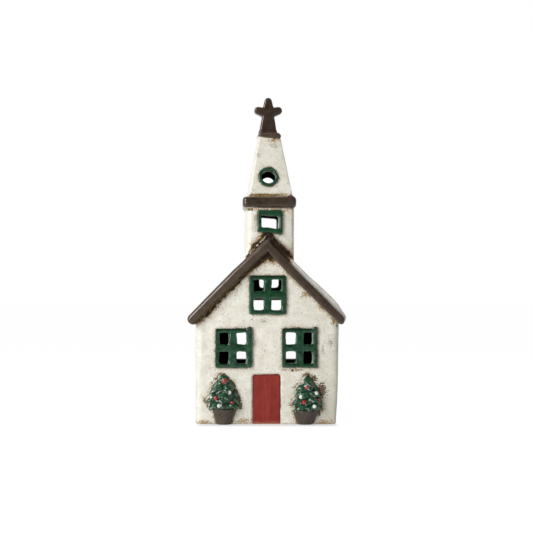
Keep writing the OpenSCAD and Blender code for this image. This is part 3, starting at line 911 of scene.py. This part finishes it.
def mound(points):
    """The cap slumps towards its edges, like a thumbed lump of clay."""
    middle = (cap_lo + cap_hi) / 2
    half = (cap_hi.x - cap_lo.x) / 2
    apart = np.maximum(np.abs(points[:, 0] - middle.x), np.abs(points[:, 1] - middle.y)) / half
    high = smoothstep(points[:, 2], cap_lo.z + 1 * MM, cap_hi.z)
    points[:, 2] -= 1.0 * MM * high * smoothstep(apart, 0.6, 1.05)
    points[:, 2] += 0.9 * MM * high * smoothstep(apart, 0.75, 0.3)
    return points


def cross_rooted(points):
    """The cross is smeared onto its cap, so that its foot flares."""
    middle = (cap_lo + cap_hi) / 2
    flare = 1 + 0.16 * smoothstep(points[:, 2], cap_hi.z + 4 * MM, cap_hi.z) ** 2
    points[:, 0] = middle.x + (points[:, 0] - middle.x) * flare
    points[:, 1] = middle.y + (points[:, 1] - middle.y) * flare
    return points


def cornice_lumped(points):
    """A blob of glaze stands on the cornice's right end."""
    return knobbed(points, cornice_hi.x / MM - 4.6, cornice_hi.z / MM, 2.2, 1.1)


def slimmed(points, node):
    """The outer bars of a four-pane frame, drawn in a little at their outline."""
    lo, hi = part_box(node)
    for axis, share in ((0, 0.84), (2, 0.74)):
        middle = (lo[axis] + hi[axis]) / 2
        inner = (hi[axis] - lo[axis]) / 2 - FRAME_BORDER
        past = np.abs(points[:, axis] - middle) - inner
        points[:, axis] -= np.sign(points[:, axis] - middle) * np.maximum(past, 0) * (1 - share)
    return points


def left_frame_shape(points):
    node = "left_window_frame"
    return knobbed(panes_shifted(slimmed(points, node)), *frame_corner(node), 2.3, 1.9)


def right_frame_shape(points):
    """Its right bar is the thinner one."""
    node = "right_window_frame"
    right_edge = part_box(node)[1].x
    points = panes_shifted(slimmed(points, node))
    on_right = smoothstep(points[:, 0], right_edge - 3.4 * MM, right_edge - 0.8 * MM)
    points[:, 0] -= 1.2 * MM * on_right
    x, z = frame_corner(node)
    return knobbed(points, x - 0.9, z, 2.3, 1.7)


def gable_frame_shape(points):
    return slimmed(points, "gable_window_frame")


def tower_frame_shape(points):
    """Its right and lower bars are the thinner ones."""
    lo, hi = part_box("tower_window_frame")
    points[:, 0] -= 0.7 * MM * smoothstep(points[:, 0], hi.x - 2.4 * MM, hi.x)
    points[:, 2] += 0.9 * MM * smoothstep(points[:, 2], lo.z + 3 * MM, lo.z)
    return knobbed(tower_slant(points), *frame_corner("tower_window_frame", up=False), 1.7, -0.9)


def below_roof_line(points):
    """How far points lie below the gable strip's outer edge, square to it, in millimetres."""
    across = points[:, 0] - RIDGE_X
    rise = (RIDGE_Z - EAVE_Z) / (HALF_HOUSE - np.sign(across) * RIDGE_X)
    steep = np.hypot(1, rise)
    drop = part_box("gable_trim")[1].z - points[:, 2] - rise * np.abs(across)
    return drop / steep / MM + TRIM_W / MM / 2 * (1 - 1 / steep)


# How far the strip's arms lie aside, in millimetres: heights, and shifts to the right there
RIGHT_INNER_EDGE = (88, 96, 104, 112, 120, 132), (0.5, -0.4, -0.8, -1.3, -1.7, -1.7)
RIGHT_OUTER_EDGE = (86, 92, 106, 121, 136, 146, 152), (-1.8, -2.6, -3.1, -4.2, -4.0, -4.2, -2.4)
LEFT_BOW = (78, 85, 101, 125, 150), (-0.2, -0.6, -1.2, -1.6, -0.2)
BEVEL_W, BEVEL_SLOPE = 2.6, 0.54


def trim_shape(points):
    """The strip's right arm lies inside the roof's edge, and its bevelled left arm bows out."""
    below = below_roof_line(points)
    outer = 1 - np.clip(below / (TRIM_W / MM), 0, 1)
    on_right = smoothstep(points[:, 0] - RIDGE_X, -1 * MM, 4 * MM)
    high = points[:, 2] / MM
    inner_shift = np.interp(high, *RIGHT_INNER_EDGE)
    outer_shift = np.interp(high, *RIGHT_OUTER_EDGE)
    points[:, 0] += (inner_shift * (1 - outer) + outer_shift * outer) * on_right * MM
    points[:, 0] += np.interp(high, *LEFT_BOW) * (1 - on_right) * MM
    on_face = smoothstep(points[:, 1], FRONT_Y - 1.5 * MM, FRONT_Y - 3 * MM)
    bevel = BEVEL_SLOPE * np.clip(BEVEL_W - below, 0, BEVEL_W)
    points[:, 1] += bevel * on_face * (1 - on_right) * MM
    return points


def ring_shape(points):
    """The ring's right side is drawn in."""
    lo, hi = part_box("oculus_ring")
    points[:, 0] -= 0.7 * MM * smoothstep(points[:, 0], (lo.x + hi.x) / 2, hi.x)
    return points


def framed(name, node, shape=None):
    """A window frame: thick round bars of glaze with soft, wobbly edges."""
    return pressed(
        name, [node], 0.4 * MM, 13,
        sway=0.35 * MM, ripple=0.42 * MM, knead=0.22 * MM, puff=0.4 * MM, shape=shape,
    )


def thrown_pot(node, rim, rim_shift, foot, foot_shift, lift=0.0):
    """A hand-made pot's shape: rim and foot wider or narrower and moved, and the rim lifted."""
    lo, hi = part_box(node)
    middle = (lo.x + hi.x) / 2

    def shape(points):
        up = smoothstep(points[:, 2], lo.z, hi.z)
        points[:, 0] = middle + (points[:, 0] - middle) * (foot * (1 - up) + rim * up)
        points[:, 0] += foot_shift * (1 - up) + rim_shift * up
        points[:, 2] += lift * up
        return points
    return shape


painted = {
    "gable_trim": pressed(
        "trim", ["gable_trim"], 0.55 * MM, 5, ripple=0.09 * MM, puff=0.1 * MM, shape=trim_shape
    ),
    "door_panel": pressed("door", ["door_panel"], 0.4 * MM, 2, ripple=0.2 * MM),
    "left_window_frame": framed("left_frame", "left_window_frame", left_frame_shape),
    "right_window_frame": framed("right_frame", "right_window_frame", right_frame_shape),
    "gable_window_frame": framed("gable_frame", "gable_window_frame", gable_frame_shape),
    "tower_window_frame": framed("tower_frame", "tower_window_frame", tower_frame_shape),
    "oculus_ring": pressed(
        "ring", ["oculus_ring"], 0.35 * MM, 6, ripple=0.4 * MM, puff=0.35 * MM, shape=ring_shape
    ),
    "tower_foot_bead": pressed("bead", ["tower_foot_bead"], 0.4 * MM, 3, ripple=0.35 * MM),
    "cornice": pressed(
        "cornice", ["cornice"], 0.6 * MM, 4, ripple=0.2 * MM, knead=0.12 * MM, shape=cornice_lumped
    ),
    "spire_cap": pressed(
        "cap", ["spire_cap"], 0.5 * MM, 3, ripple=0.3 * MM, knead=0.25 * MM, shape=mound
    ),
    "cross": pressed(
        "cross", ["cross"], 0.4 * MM, 4, ripple=0.2 * MM, puff=0.35 * MM, shape=cross_rooted
    ),
    "left_pot": pressed(
        "left_pot", ["left_pot"], 0.4 * MM, 4, ripple=0.15 * MM,
        shape=thrown_pot("left_pot", 1.04, -0.25 * MM, 0.85, -0.3 * MM, MM),
    ),
    "right_pot": pressed(
        "right_pot", ["right_pot"], 0.4 * MM, 4, ripple=0.15 * MM,
        shape=thrown_pot("right_pot", 1.13, -1.7 * MM, 0.88, -2.7 * MM),
    ),
    "floor_slab": pressed("floor", ["floor_slab"], 1.2 * MM, 2),
}

# Outline of a tree: share of its height, and of its half width
FOLIAGE = [
    (0, 0.86), (0.03, 0.97), (0.07, 1), (0.14, 0.97), (0.32, 0.89), (0.5, 0.75),
    (0.6, 0.59), (0.72, 0.42), (0.86, 0.22), (1, 0.03),
]
TREE_DEPTH_SHARE = 0.68
TREE_R = 14 * MM
# Rows of leaves: share of the tree's height, and how many go round its front
LEAF_ROWS = [(0.12, 5), (0.29, 5), (0.46, 4), (0.61, 4), (0.75, 3), (0.87, 2)]
LEAF_LONG, LEAF_WIDE, LEAF_THICK = 4.2 * MM, 3.9 * MM, 1.75 * MM
LEAF_VOXEL = 0.32 * MM
CORE_RINGS, CORE_STEPS = 40, 48


def leaf(points, at, outward, droop, size):
    """A drooping leaf made from a ball's points: blunt at its root, flicked out at its thin tip."""
    across, along, thick = points.T
    across = across * LEAF_WIDE * size * (1 - 0.55 * smoothstep(along, -0.2, 1.0))
    flick = 1.0 * MM * size * np.clip(along, 0, 1) ** 2
    thick = thick * LEAF_THICK * size + flick
    down = (outward * math.sin(droop) - Vector((0, 0, 1)) * math.cos(droop)).normalized()
    side = outward.cross(Vector((0, 0, 1))).normalized()
    face = side.cross(down).normalized()
    if face.dot(outward) < 0:
        face = -face
    along = along * LEAF_LONG * size
    moved = np.outer(across, side) + np.outer(along, down) + np.outer(thick, face)
    return moved + np.array(at)


def leafy_tree(node, seed, width, lift, lean):
    """A half tree on the wall: a core with rows of leaves pressed onto it, hanging over each other.

    width is a share of the usual one, lift raises the foot, and lean draws the foot to the left.
    """
    lo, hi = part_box(node)
    middle, foot, wall = (lo.x + hi.x) / 2, lo.z + lift, hi.y
    height = hi.z - foot
    rings, steps = CORE_RINGS, CORE_STEPS
    ring_shares, turns = np.linspace(0, 1, rings), np.linspace(0, math.pi, steps)
    share, angle = np.meshgrid(ring_shares, turns, indexing="ij")
    bare = TREE_R * width * np.interp(share, *zip(*FOLIAGE))
    radius = np.maximum(bare * (0.8 + 0.2 * smoothstep(share, 0.72, 0.9)), 0.3 * MM)
    points = [np.stack([
        middle + radius * np.cos(angle),
        wall - TREE_DEPTH_SHARE * radius * np.sin(angle),
        foot + height * share,
    ], axis=-1).reshape(-1, 3)]

    def at(i, j):
        return i * steps + j

    faces = [
        [at(i, j), at(i + 1, j), at(i + 1, j + 1), at(i, j + 1)]
        for i in range(rings - 1) for j in range(steps - 1)
    ]
    last = steps - 1
    faces += [[at(i, 0), at(i, last), at(i + 1, last), at(i + 1, 0)] for i in range(rings - 1)]
    faces.append([at(0, j) for j in range(steps)])
    faces.append([at(rings - 1, j) for j in reversed(range(steps))])

    bm = bmesh.new()
    bmesh.ops.create_icosphere(bm, subdivisions=3, radius=1)
    ball = np.array([v.co for v in bm.verts])
    ball_faces = [[v.index for v in face.verts] for face in bm.faces]
    bm.free()
    total = len(points[0])
    for row, (up, count) in enumerate(LEAF_ROWS):
        for k in range(count):
            jitter = lumps(np.array([[row * 0.7, k * 0.9, seed * 1.3]]), 0.5, seed)[0]
            turn = math.pi * (k + 0.5 + 0.2 * (1 if row % 2 else -1) + 0.4 * jitter) / count
            droop = math.radians(42 + 14 * jitter)
            size = 0.75 + 0.25 * np.interp(up, *zip(*FOLIAGE)) + 0.12 * jitter
            tip_up = up - LEAF_LONG * size * math.cos(droop) / height
            here = TREE_R * width * np.interp(tip_up, *zip(*FOLIAGE))
            here = max(here - LEAF_LONG * size * math.sin(droop) * 0.9, 0.4 * MM)
            outward = Vector((TREE_DEPTH_SHARE * math.cos(turn), -math.sin(turn), 0)).normalized()
            centre = (
                middle + here * math.cos(turn),
                wall - TREE_DEPTH_SHARE * here * math.sin(turn),
                foot + height * (up + 0.05 * jitter + (0.025 if k % 2 else -0.025)),
            )
            placed = leaf(ball, centre, outward, droop, size)
            placed[:, 1] = np.minimum(placed[:, 1], wall)
            points.append(placed)
            faces += [[i + total for i in face] for face in ball_faces]
            total += len(ball)
    mesh = remeshed(mesh_from(node, np.concatenate(points), faces), LEAF_VOXEL)
    soft = smoothed(mesh_points(mesh), mesh_edges(mesh), 6)
    soft[:, 0] -= lean * np.clip((hi.z - soft[:, 2]) / height, 0, 1)
    for size, push in ((3.0 * MM, 0.45 * MM), (1.3 * MM, 0.06 * MM)):
        soft = soft + push * np.stack([lumps(soft, size, seed + axis) for axis in range(3)], axis=1)
    soft[:, 1] = np.minimum(soft[:, 1], wall + 0.2 * MM)
    move_points(mesh, soft)
    return mesh


painted["left_tree"] = leafy_tree("left_tree", 2, 1.0, 1.0 * MM, 1.3 * MM)
painted["right_tree"] = leafy_tree("right_tree", 9, 0.93, -0.4 * MM, 0.7 * MM)

# Beads on the trees: share of the half width there, of the height, and of a full bead's size
BEADS = {
    "left_red_baubles": [(0.08, 0.79, 1.15), (-0.55, 0.34, 0.95), (0.5, 0.22, 0.85)],
    "left_white_baubles": [(0.4, 0.49, 0.9), (-0.31, 0.14, 0.85), (-0.85, 0.36, 0.6)],
    "right_red_baubles": [(-0.1, 0.66, 1.0), (-0.26, 0.25, 1.0), (0.7, 0.31, 0.65)],
    "right_white_baubles": [(0.6, 0.49, 0.95), (-0.5, 0.4, 0.95), (0.36, 0.13, 0.9)],
}
BEAD_R = 1.9 * MM


def glaze_beads(node):
    """Drops of glaze on the leaves, each a little uneven and sunk into the tree."""
    tree_node = "left_tree" if node.startswith("left") else "right_tree"
    lo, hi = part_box(tree_node)
    leaves = tree_of([painted[tree_node]])
    bm = bmesh.new()
    for number, (across, up, size) in enumerate(BEADS[node]):
        half = TREE_R * np.interp(up, *zip(*FOLIAGE))
        x, z = (lo.x + hi.x) / 2 + across * half, lo.z + up * (hi.z - lo.z)
        hit = leaves.ray_cast(Vector((x, lo.y - 20 * MM, z)), Vector((0, 1, 0)))
        centre = hit[0] + Vector((0, 0.3 * BEAD_R * size, 0))
        made = bmesh.ops.create_icosphere(bm, subdivisions=4, radius=BEAD_R * size)
        points = np.array([v.co for v in made["verts"]])
        uneven = 1 + 0.07 * lumps(points + number * 9 * MM, 2 * MM, 5)
        for v, factor in zip(made["verts"], uneven):
            v.co = centre + v.co * factor
    mesh = bpy.data.meshes.new(node)
    bm.to_mesh(mesh)
    bm.free()
    return mesh


for node in BEADS:
    painted[node] = glaze_beads(node)



def middle_x(node):
    """Where a node's middle is across the front, in millimetres."""
    return sum(end.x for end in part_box(node)) / 2 / MM


LEFT_TREE_X, RIGHT_TREE_X = middle_x("left_tree"), middle_x("right_tree")
POT_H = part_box("left_pot")[1].z / MM

# What the cream glaze runs and rusts beside
FOUR_PANE_FRAMES = ("left_window_frame", "right_window_frame", "gable_window_frame")
joint_tree = tree_of([*slabs.values(), painted["cornice"], painted["spire_cap"]])
strip_tree = tree_of([painted["gable_trim"], painted["tower_foot_bead"]])
window_nodes = (*FOUR_PANE_FRAMES, "tower_window_frame", "oculus_ring")
window_tree = tree_of([painted[n] for n in window_nodes])
door_tree = tree_of([painted["door_panel"]])
plant_tree = tree_of([painted[n] for n in ("left_tree", "right_tree", "left_pot", "right_pot")])
tower_tree = tree_of([walls[n] for n in tower_nodes])

# Marks in the glaze: x, z, half width and half height in millimetres
MARKS = {
    "front_wall": {
        "stain": [
            (-10.5, 66, 2.5, 5), (14, 52, 4, 3), (45.5, 60, 2, 7), (-3, 84, 6, 3), (20, 76, 3, 2),
            (27, 32, 3.5, 3), (-40, 46, 4, 2.5), (8, 100, 3, 4), (18, 122, 4, 3),
            (-54.5, 90, 3, 3.4), (52, 66, 4, 5),
        ],
        "gold": [
            (14.2, 44, 2.2, 1.2), (-17, 2.5, 4, 1.8), (32.5, 106, 4.5, 3.6), (54.5, 84, 3.4, 3.6),
            (-52, 1.5, 8, 2.2), (-19, 2.5, 7, 2.6), (47, 1.5, 7, 2.2), (43.5, 12, 3, 4),
            (24, 44, 6, 1.6), (17, 125, 3, 3), (21, 120.5, 3, 3), (25, 116, 2.6, 2.6),
            (44, 95, 3, 3),
        ],
        "smoke": [
            (42.4, 9, 1.2, 2.6), (44, 27.5, 4.4, 6), (38, 37, 3, 3), (57, 79.6, 0.9, 0.9),
            (-40, 34, 2, 2.5), (20.6, 43.4, 1.3, 0.9), (-22.3, 14.5, 2, 3.2),
        ],
    },
    "tower_front_wall": {
        "stain": [(-9.5, 166, 1.6, 7)],
        "gold": [(-14.5, 176, 6, 1.8), (12, 174, 7, 1.6)],
        "smoke": [(-15, 175.5, 4.5, 1.6)],
    },
    "spire_front_wall": {
        "stain": [(-7, 221, 2, 3), (6, 229, 4, 3)],
        "gold": [(-6, 187.2, 13, 1.7), (12, 187.5, 5, 1.6), (5, 233, 5, 1.6)],
        "smoke": [(-2, 187, 14, 1.1)],
    },
}


# A distance at which no glaze reaches, in millimetres, and how far runs and outlines are looked for
FAR = 9.0
RUN_LIMIT, OUTLINE_LIMIT, PLANT_LIMIT, SEAT_LIMIT = 12 * MM, 7 * MM, 9 * MM, 2 * MM


def brown_reach(node, points):
    """How far the brown glaze has run down or up this wall, in millimetres."""
    x = (points[:, 0] - RIDGE_X) / MM
    lump = lumps(points, 2.6 * MM, 21)
    if node == "front_wall":
        leftward = smoothstep(-x, -2, 9)
        reach = leftward * (2.3 + 1.2 * lumps(points, 7 * MM, 33)) + 3.8 * swell(x, -1, 6) + 0.5
        return reach + (0.35 + 0.9 * leftward) * lump
    if node == "tower_front_wall":
        leftward = smoothstep(-x, 0, 5)
        reach = 0.5 + 3.2 * swell(x, 0, 3.5) + 1.9 * leftward + 1.1 * smoothstep(x, 10, 19)
        return reach + (0.25 + 1.6 * leftward) * lump
    return 0.15 + 0.3 * lump


def cap_reach(points):
    """How far the cap's glaze hangs over the spire, in millimetres: more on the right.

    Below zero, the spire's cream lies over the cap's edge instead.
    """
    return 0.16 * (points[:, 0] - RIDGE_X) / MM - 0.35


def outlined(points, away):
    """Distances turned into dark outlines round the plants, and a painted highlight on their left:
    a pale roll where the lamps catch the glaze.

    The outlines are close on the right, and dashes past the roll on the left. Returns both.
    """
    x, z = points[:, 0] / MM, points[:, 2] / MM
    across = np.where(x < 0, x - LEFT_TREE_X, x - RIGHT_TREE_X)
    leafy = smoothstep(z, POT_H, POT_H + 3)
    leftward = smoothstep(-across, -1, 4) * leafy
    lump = lumps(points, 4.5 * MM, 51)
    crown = smoothstep(z, 46, 34)
    close = away - 0.3 - 0.8 * leafy * crown - (0.3 + 1.1 * leafy) * lump
    dashes = np.abs(away - 1.6) - 0.1 - 1.6 * lumps(points, 3.2 * MM, 57)
    broken = smoothstep(lumps(points, 3.8 * MM, 59), -0.3, 0.2)
    # painted highlight: a broken pale roll on the left of each tree, the side that faces the lamps
    pale = leftward * smoothstep(away, 1.3, 0.6) * broken
    return close * (1 - leftward) + dashes * leftward, pale


def thin_glaze(node, points):
    """Share of the darker cream painted as shade: on the front's left rim, low on its right and
    over its right half, on the tower's right side, a little on the other walls and more up the
    spire.
    """
    x, z = points[:, 0] / MM, points[:, 2] / MM
    if node == "front_wall":
        rim = 0.32 * smoothstep(x, -55.5, -59)
        low_right = 0.5 * smoothstep(x, 34, 56) * smoothstep(z, 70, 5)
        return rim + low_right + 0.08 * smoothstep(x, 0, 40)
    if node.startswith("tower"):
        return 0.17 * smoothstep(x, -5, 12)
    return 0.06 + 0.14 * smoothstep(z, SPIRE_Z / MM, SPIRE_Z / MM + 40)


def glaze_wall(node, mesh):
    """What the glaze of a wall reads: the runs, marks, painted highlights and painted shade near
    each point.
    """
    points = mesh_points(mesh)
    marks = MARKS.get(node, {})
    sources = strip_tree if node in ("front_wall", "tower_front_wall") else joint_tree
    joint = distances(points, joint_tree, RUN_LIMIT)
    brown = distances(points, sources, RUN_LIMIT) - brown_reach(node, points)
    brown = np.minimum(brown, joint + 0.1 + 0.3 * lumps(points, 3 * MM, 27))
    if node.startswith("spire"):
        high = smoothstep(points[:, 2], cap_lo.z - 8 * MM, cap_lo.z - 6 * MM)
        hung = joint - cap_reach(points) - 0.3 * lumps(points, 2 * MM, 29)
        brown = brown * (1 - high) + np.where(cap_reach(points) < 0, FAR, hung) * high
    window = distances(points, window_tree, OUTLINE_LIMIT)
    green_run = np.minimum(window, distances(points, door_tree, OUTLINE_LIMIT) + 0.3)
    green_run = green_run - 0.2 - 0.7 * lumps(points, 4 * MM, 41)
    plant_run, frost = outlined(points, distances(points, plant_tree, PLANT_LIMIT))
    normals = point_normals(mesh)
    in_front = (window < 3.4) * (points[:, 1] < TOWER_Y)
    inside_hole = smoothstep(-normals[:, 1], 0.75, 0.35) * in_front
    # painted light: the sides of the window holes that face left, towards the lamps
    lip = smoothstep(-normals[:, 0], 0.55, 0.85) * in_front
    keep(
        mesh, brown_run=brown, green_run=green_run, plant_run=plant_run, frost=frost,
        brushed=inside_hole, lip=lip, thin_glaze=thin_glaze(node, points),
        **{mark: spots(points, marks.get(mark, [])) for mark in ("stain", "gold", "smoke")},
    )
    keep_form(mesh, 4)


def glaze_slab(mesh):
    """What a roof slab's glaze reads: brown along the tower's foot, the ridge and the strip."""
    points = mesh_points(mesh)
    far = np.full(len(points), FAR)
    lump = lumps(points, 3 * MM, 61)
    brown = distances(points, tower_tree, RUN_LIMIT) - 0.8 - 0.8 * lump
    across = np.abs(points[:, 0] - RIDGE_X) / MM
    behind = (points[:, 1] - roof_lo.y) / MM
    joint = np.maximum(across - 17.5, behind - 5) + lump
    run_down = np.where(points[:, 0] < RIDGE_X, 2.2, 0.5) + lump
    under_strip = distances(points, strip_tree, RUN_LIMIT) - run_down
    joint = np.minimum(joint, np.where(below_roof_line(points) > 5, under_strip, FAR))
    none = far * 0
    keep(mesh, brown_run=np.minimum(brown, joint), green_run=far, plant_run=far)
    absent = ("stain", "gold", "smoke", "brushed", "lip", "frost", "thin_glaze")
    keep(mesh, **{mark: none for mark in absent})
    keep_form(mesh, 4)


for node, mesh in walls.items():
    glaze_wall(node, mesh)
    put_piece(node, mesh, WALL_GLAZE)
for node, mesh in slabs.items():
    glaze_slab(mesh)
    put_piece(node, mesh, ROOF_GLAZE)

finishes = {
    "gable_trim": BROWN_GLAZE, "door_panel": RED_GLAZE, "left_window_frame": GREEN_GLAZE,
    "right_window_frame": GREEN_GLAZE, "gable_window_frame": GREEN_GLAZE,
    "tower_window_frame": GREEN_GLAZE, "oculus_ring": GREEN_GLAZE, "tower_foot_bead": JOINT_GLAZE,
    "cornice": BROWN_GLAZE, "spire_cap": BROWN_GLAZE, "cross": BROWN_GLAZE, "left_pot": POT_GLAZE,
    "right_pot": POT_GLAZE, "floor_slab": CLAY, "left_tree": LEAF_GLAZE, "right_tree": LEAF_GLAZE,
    "left_red_baubles": RED_BEAD, "right_red_baubles": RED_BEAD,
    "left_white_baubles": WHITE_BEAD, "right_white_baubles": WHITE_BEAD,
}


def cream_creep(node, points):
    """How far each point of a brown piece is above the cream glaze that crept over its foot."""
    x, z = (points[:, 0] - RIDGE_X) / MM, points[:, 2] / MM
    if node == "spire_cap":
        return z - cap_lo.z / MM + cap_reach(points) + 0.35 * lumps(points, 2.4 * MM, 71)
    if node == "cornice":
        return z - cornice_lo.z / MM - swell(x, -14, 5) + 0.4 + 0.4 * lumps(points, 3 * MM, 73)
    return np.full(len(points), FAR)


def pools(node, points):
    """Where a window frame is darker, along its top bar and in a bow under each pane: pooled glaze,
    and painted shade on these upward faces.
    """
    lo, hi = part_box(node)
    middle, half = (lo + hi) / 2, (hi - lo) / 2
    across = (points[:, 0] - middle.x - PANES_SHIFT.get(node, 0)) / MM
    up = (points[:, 2] - middle.z) / MM
    pane_x = (half.x - FRAME_BORDER + MULLION_W / 2) / 2 / MM
    upper_sill, lower_sill = CROSSBAR_H / 2 / MM, (FRAME_BORDER - half.z) / MM
    found = 0.75 * smoothstep(points[:, 2], hi.z - 3.6 * MM, hi.z - 1.6 * MM)
    for aside in (across + pane_x, across - pane_x):
        for sill, depth in ((upper_sill, 0.75), (lower_sill, 0.5)):
            bow = up - sill + 1.0 - 0.05 * aside ** 2
            found = np.maximum(found, depth * swell(bow, 0, 0.5) * within(aside, -4, 4, 1))
    return found


wall_tree = tree_of(walls.values())
for node, mesh in painted.items():
    points = mesh_points(mesh)
    if finishes[node] == BROWN_GLAZE:
        on_left = smoothstep(RIDGE_X - points[:, 0], -2 * MM, 8 * MM)
        # paler brown: a little over the whole strip and on the cap; the extra on the strip's left
        # arm is painted light
        pale = {"gable_trim": 0.2 + 0.25 * on_left, "spire_cap": 0.45}.get(node, 0)
        underneath = smoothstep(below_roof_line(points), 4.8, 7.6)
        scorched = on_left * underneath if node == "gable_trim" else 0
        none = np.zeros(len(points))
        keep(mesh, creep=cream_creep(node, points), pale=pale + none, scorched=scorched + none)
    if finishes[node] == JOINT_GLAZE:
        keep(mesh, wiped=smoothstep(RIDGE_X - points[:, 0], -2 * MM, 5 * MM))
    # pooled glaze and painted contact shade: darker where the piece sits on the wall
    seat = smoothstep(distances(points, wall_tree, SEAT_LIMIT), 0.95, 0.3) * (node not in BEADS)
    if node in FOUR_PANE_FRAMES:
        seat = np.maximum(seat, pools(node, points))
    if node == "door_panel":
        lo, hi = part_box(node)
        # the door darker along its sides and top, as pooled glaze and painted shade in its recess
        inset = np.minimum.reduce([points[:, 0] - lo.x, hi.x - points[:, 0], hi.z - points[:, 2]])
        seat = np.maximum(seat, 0.6 * smoothstep(inset, 1.7 * MM, 0.3 * MM))
    keep(mesh, seat=seat)
    keep_form(mesh)
    put_piece(node, mesh, finishes[node])


# ---- camera, light and floor ----

CAMERA_X, CAMERA_HEIGHT, CAMERA_AWAY = -0.5 * MM, 105 * MM, 900 * MM
CAMERA_LENS, CAMERA_TILT = 74.45, math.radians(1.481)
CAMERA_NEAR, CAMERA_FAR = 0.05, 50
# Lamps: name, place, what it aims at, size in metres and power in watts
LAMPS = [
    ("window_light", (-0.88, -1.0, 0.42), (0, 0, 0.12), 0.8, 11.8),
    ("spark_light", (-0.6, -0.5, 0.6), (0, 0, 0.1), 0.2, 2.3),
    ("top_light", (-0.15, 0.2, 1.0), (0, 0, 0.1), 0.6, 2.0),
]
WHITE = (1, 1, 1, 1)
PAPER = (0.86, 0.86, 0.86, 1)
ROOM_STRENGTH = 0.3
FLOOR_GLOW = 1.03
FLOOR_HALF = 12.0
FLOOR_DROP = 0.05 * MM

scene = bpy.context.scene
camera = bpy.data.objects.new("camera", bpy.data.cameras.new("camera"))
scene.collection.objects.link(camera)
camera.data.sensor_width = 36
camera.data.lens = CAMERA_LENS
camera.location = (CAMERA_X, FRONT_Y - CAMERA_AWAY, CAMERA_HEIGHT)
camera.rotation_euler = (math.pi / 2 + CAMERA_TILT, 0, 0)
camera.data.clip_start, camera.data.clip_end = CAMERA_NEAR, CAMERA_FAR
scene.camera = camera


def soft_lamp(name, place, aim, size, power):
    """A square area lamp at this place, turned to what it aims at."""
    lamp = bpy.data.objects.new(name, bpy.data.lights.new(name, "AREA"))
    lamp.data.shape = "SQUARE"
    lamp.data.size = size
    lamp.data.energy = power
    lamp.location = place
    direction = Vector(aim) - Vector(place)
    lamp.rotation_euler = direction.to_track_quat("-Z", "Y").to_euler()
    scene.collection.objects.link(lamp)


for lamp_values in LAMPS:
    soft_lamp(*lamp_values)


def white_background(tree, strength):
    """White when seen straight on, and in reflections darker overhead and behind the viewer."""
    rays = add(tree, "LightPath").outputs
    way = add(tree, "SeparateXYZ", {0: add(tree, "TexCoord").outputs["Generated"]}).outputs
    ahead = ramp(tree, way["Y"], -0.5, 0.1, 0.12, 1.0)
    low = ramp(tree, way["Z"], 0.1, 0.75, 1.0, 0.4)
    plain = calculate(tree, "MAXIMUM", rays["Is Camera Ray"], rays["Is Transmission Ray"])
    seen = calculate(tree, "MAXIMUM", plain, rays["Is Glossy Ray"])
    shown = calculate(tree, "MAXIMUM", plain, times(tree, ahead, low))
    room = add(tree, "Background", {"Color": WHITE, "Strength": strength})
    white = add(tree, "Background", {"Color": WHITE, "Strength": shown})
    return add(tree, "MixShader", {0: seen, 1: room.outputs[0], 2: white.outputs[0]})


scene.world = bpy.data.worlds.new("studio")
world_tree = blank_tree(scene.world)
add(world_tree, "OutputWorld", {0: white_background(world_tree, ROOM_STRENGTH).outputs[0]})


def studio_floor():
    """A wide floor: paper for the light, white for the camera, and grey where the piece stands."""
    size = FLOOR_HALF
    corners = [(-size, -size, 0), (size, -size, 0), (size, size, 0), (-size, size, 0)]
    mesh = mesh_from("floor_sheet", corners, [[0, 1, 2, 3]])
    material = bpy.data.materials.new("white_floor")
    tree = blank_tree(material)
    rays = add(tree, "LightPath").outputs
    glossy = rays["Is Glossy Ray"]
    seen = calculate(tree, "MAXIMUM", rays["Is Camera Ray"], glossy)
    seen = calculate(tree, "MAXIMUM", seen, rays["Is Transmission Ray"])
    way = add(tree, "SeparateXYZ", {0: millimetres(tree)}).outputs
    past_side = minus(tree, calculate(tree, "ABSOLUTE", way["X"]), HALF_HOUSE / MM)
    past_front = minus(tree, calculate(tree, "ABSOLUTE", way["Y"]), BACK_Y / MM)
    beside = ramp(tree, past_side, -5.0, -0.5, 1.0, 0.0)
    fade = ramp(tree, past_front, 0.0, 24.0, 0.7, 0.0)
    near = times(tree, ramp(tree, past_front, -3.0, 0.0), fade)
    share = plus(tree, times(tree, beside, near), 0.05)
    paper = add(tree, "BsdfDiffuse", {"Color": PAPER})
    mirrored = times(tree, glossy, ramp(tree, way["Y"], -600.0, -80.0, 0.4, FLOOR_GLOW))
    plain = times(tree, minus(tree, 1.0, glossy), FLOOR_GLOW)
    glow = add(tree, "Emission", {"Color": WHITE, "Strength": plus(tree, mirrored, plain)})
    lit = add(tree, "MixShader", {0: share, 1: glow.outputs[0], 2: paper.outputs[0]})
    choice = add(tree, "MixShader", {0: seen, 1: paper.outputs[0], 2: lit.outputs[0]})
    add(tree, "OutputMaterial", {0: choice.outputs[0]})
    mesh.materials.append(material)
    floor = bpy.data.objects.new("studio_floor", mesh)
    floor.location.z = -FLOOR_DROP
    scene.collection.objects.link(floor)


studio_floor()
scene.view_settings.view_transform = "Standard"
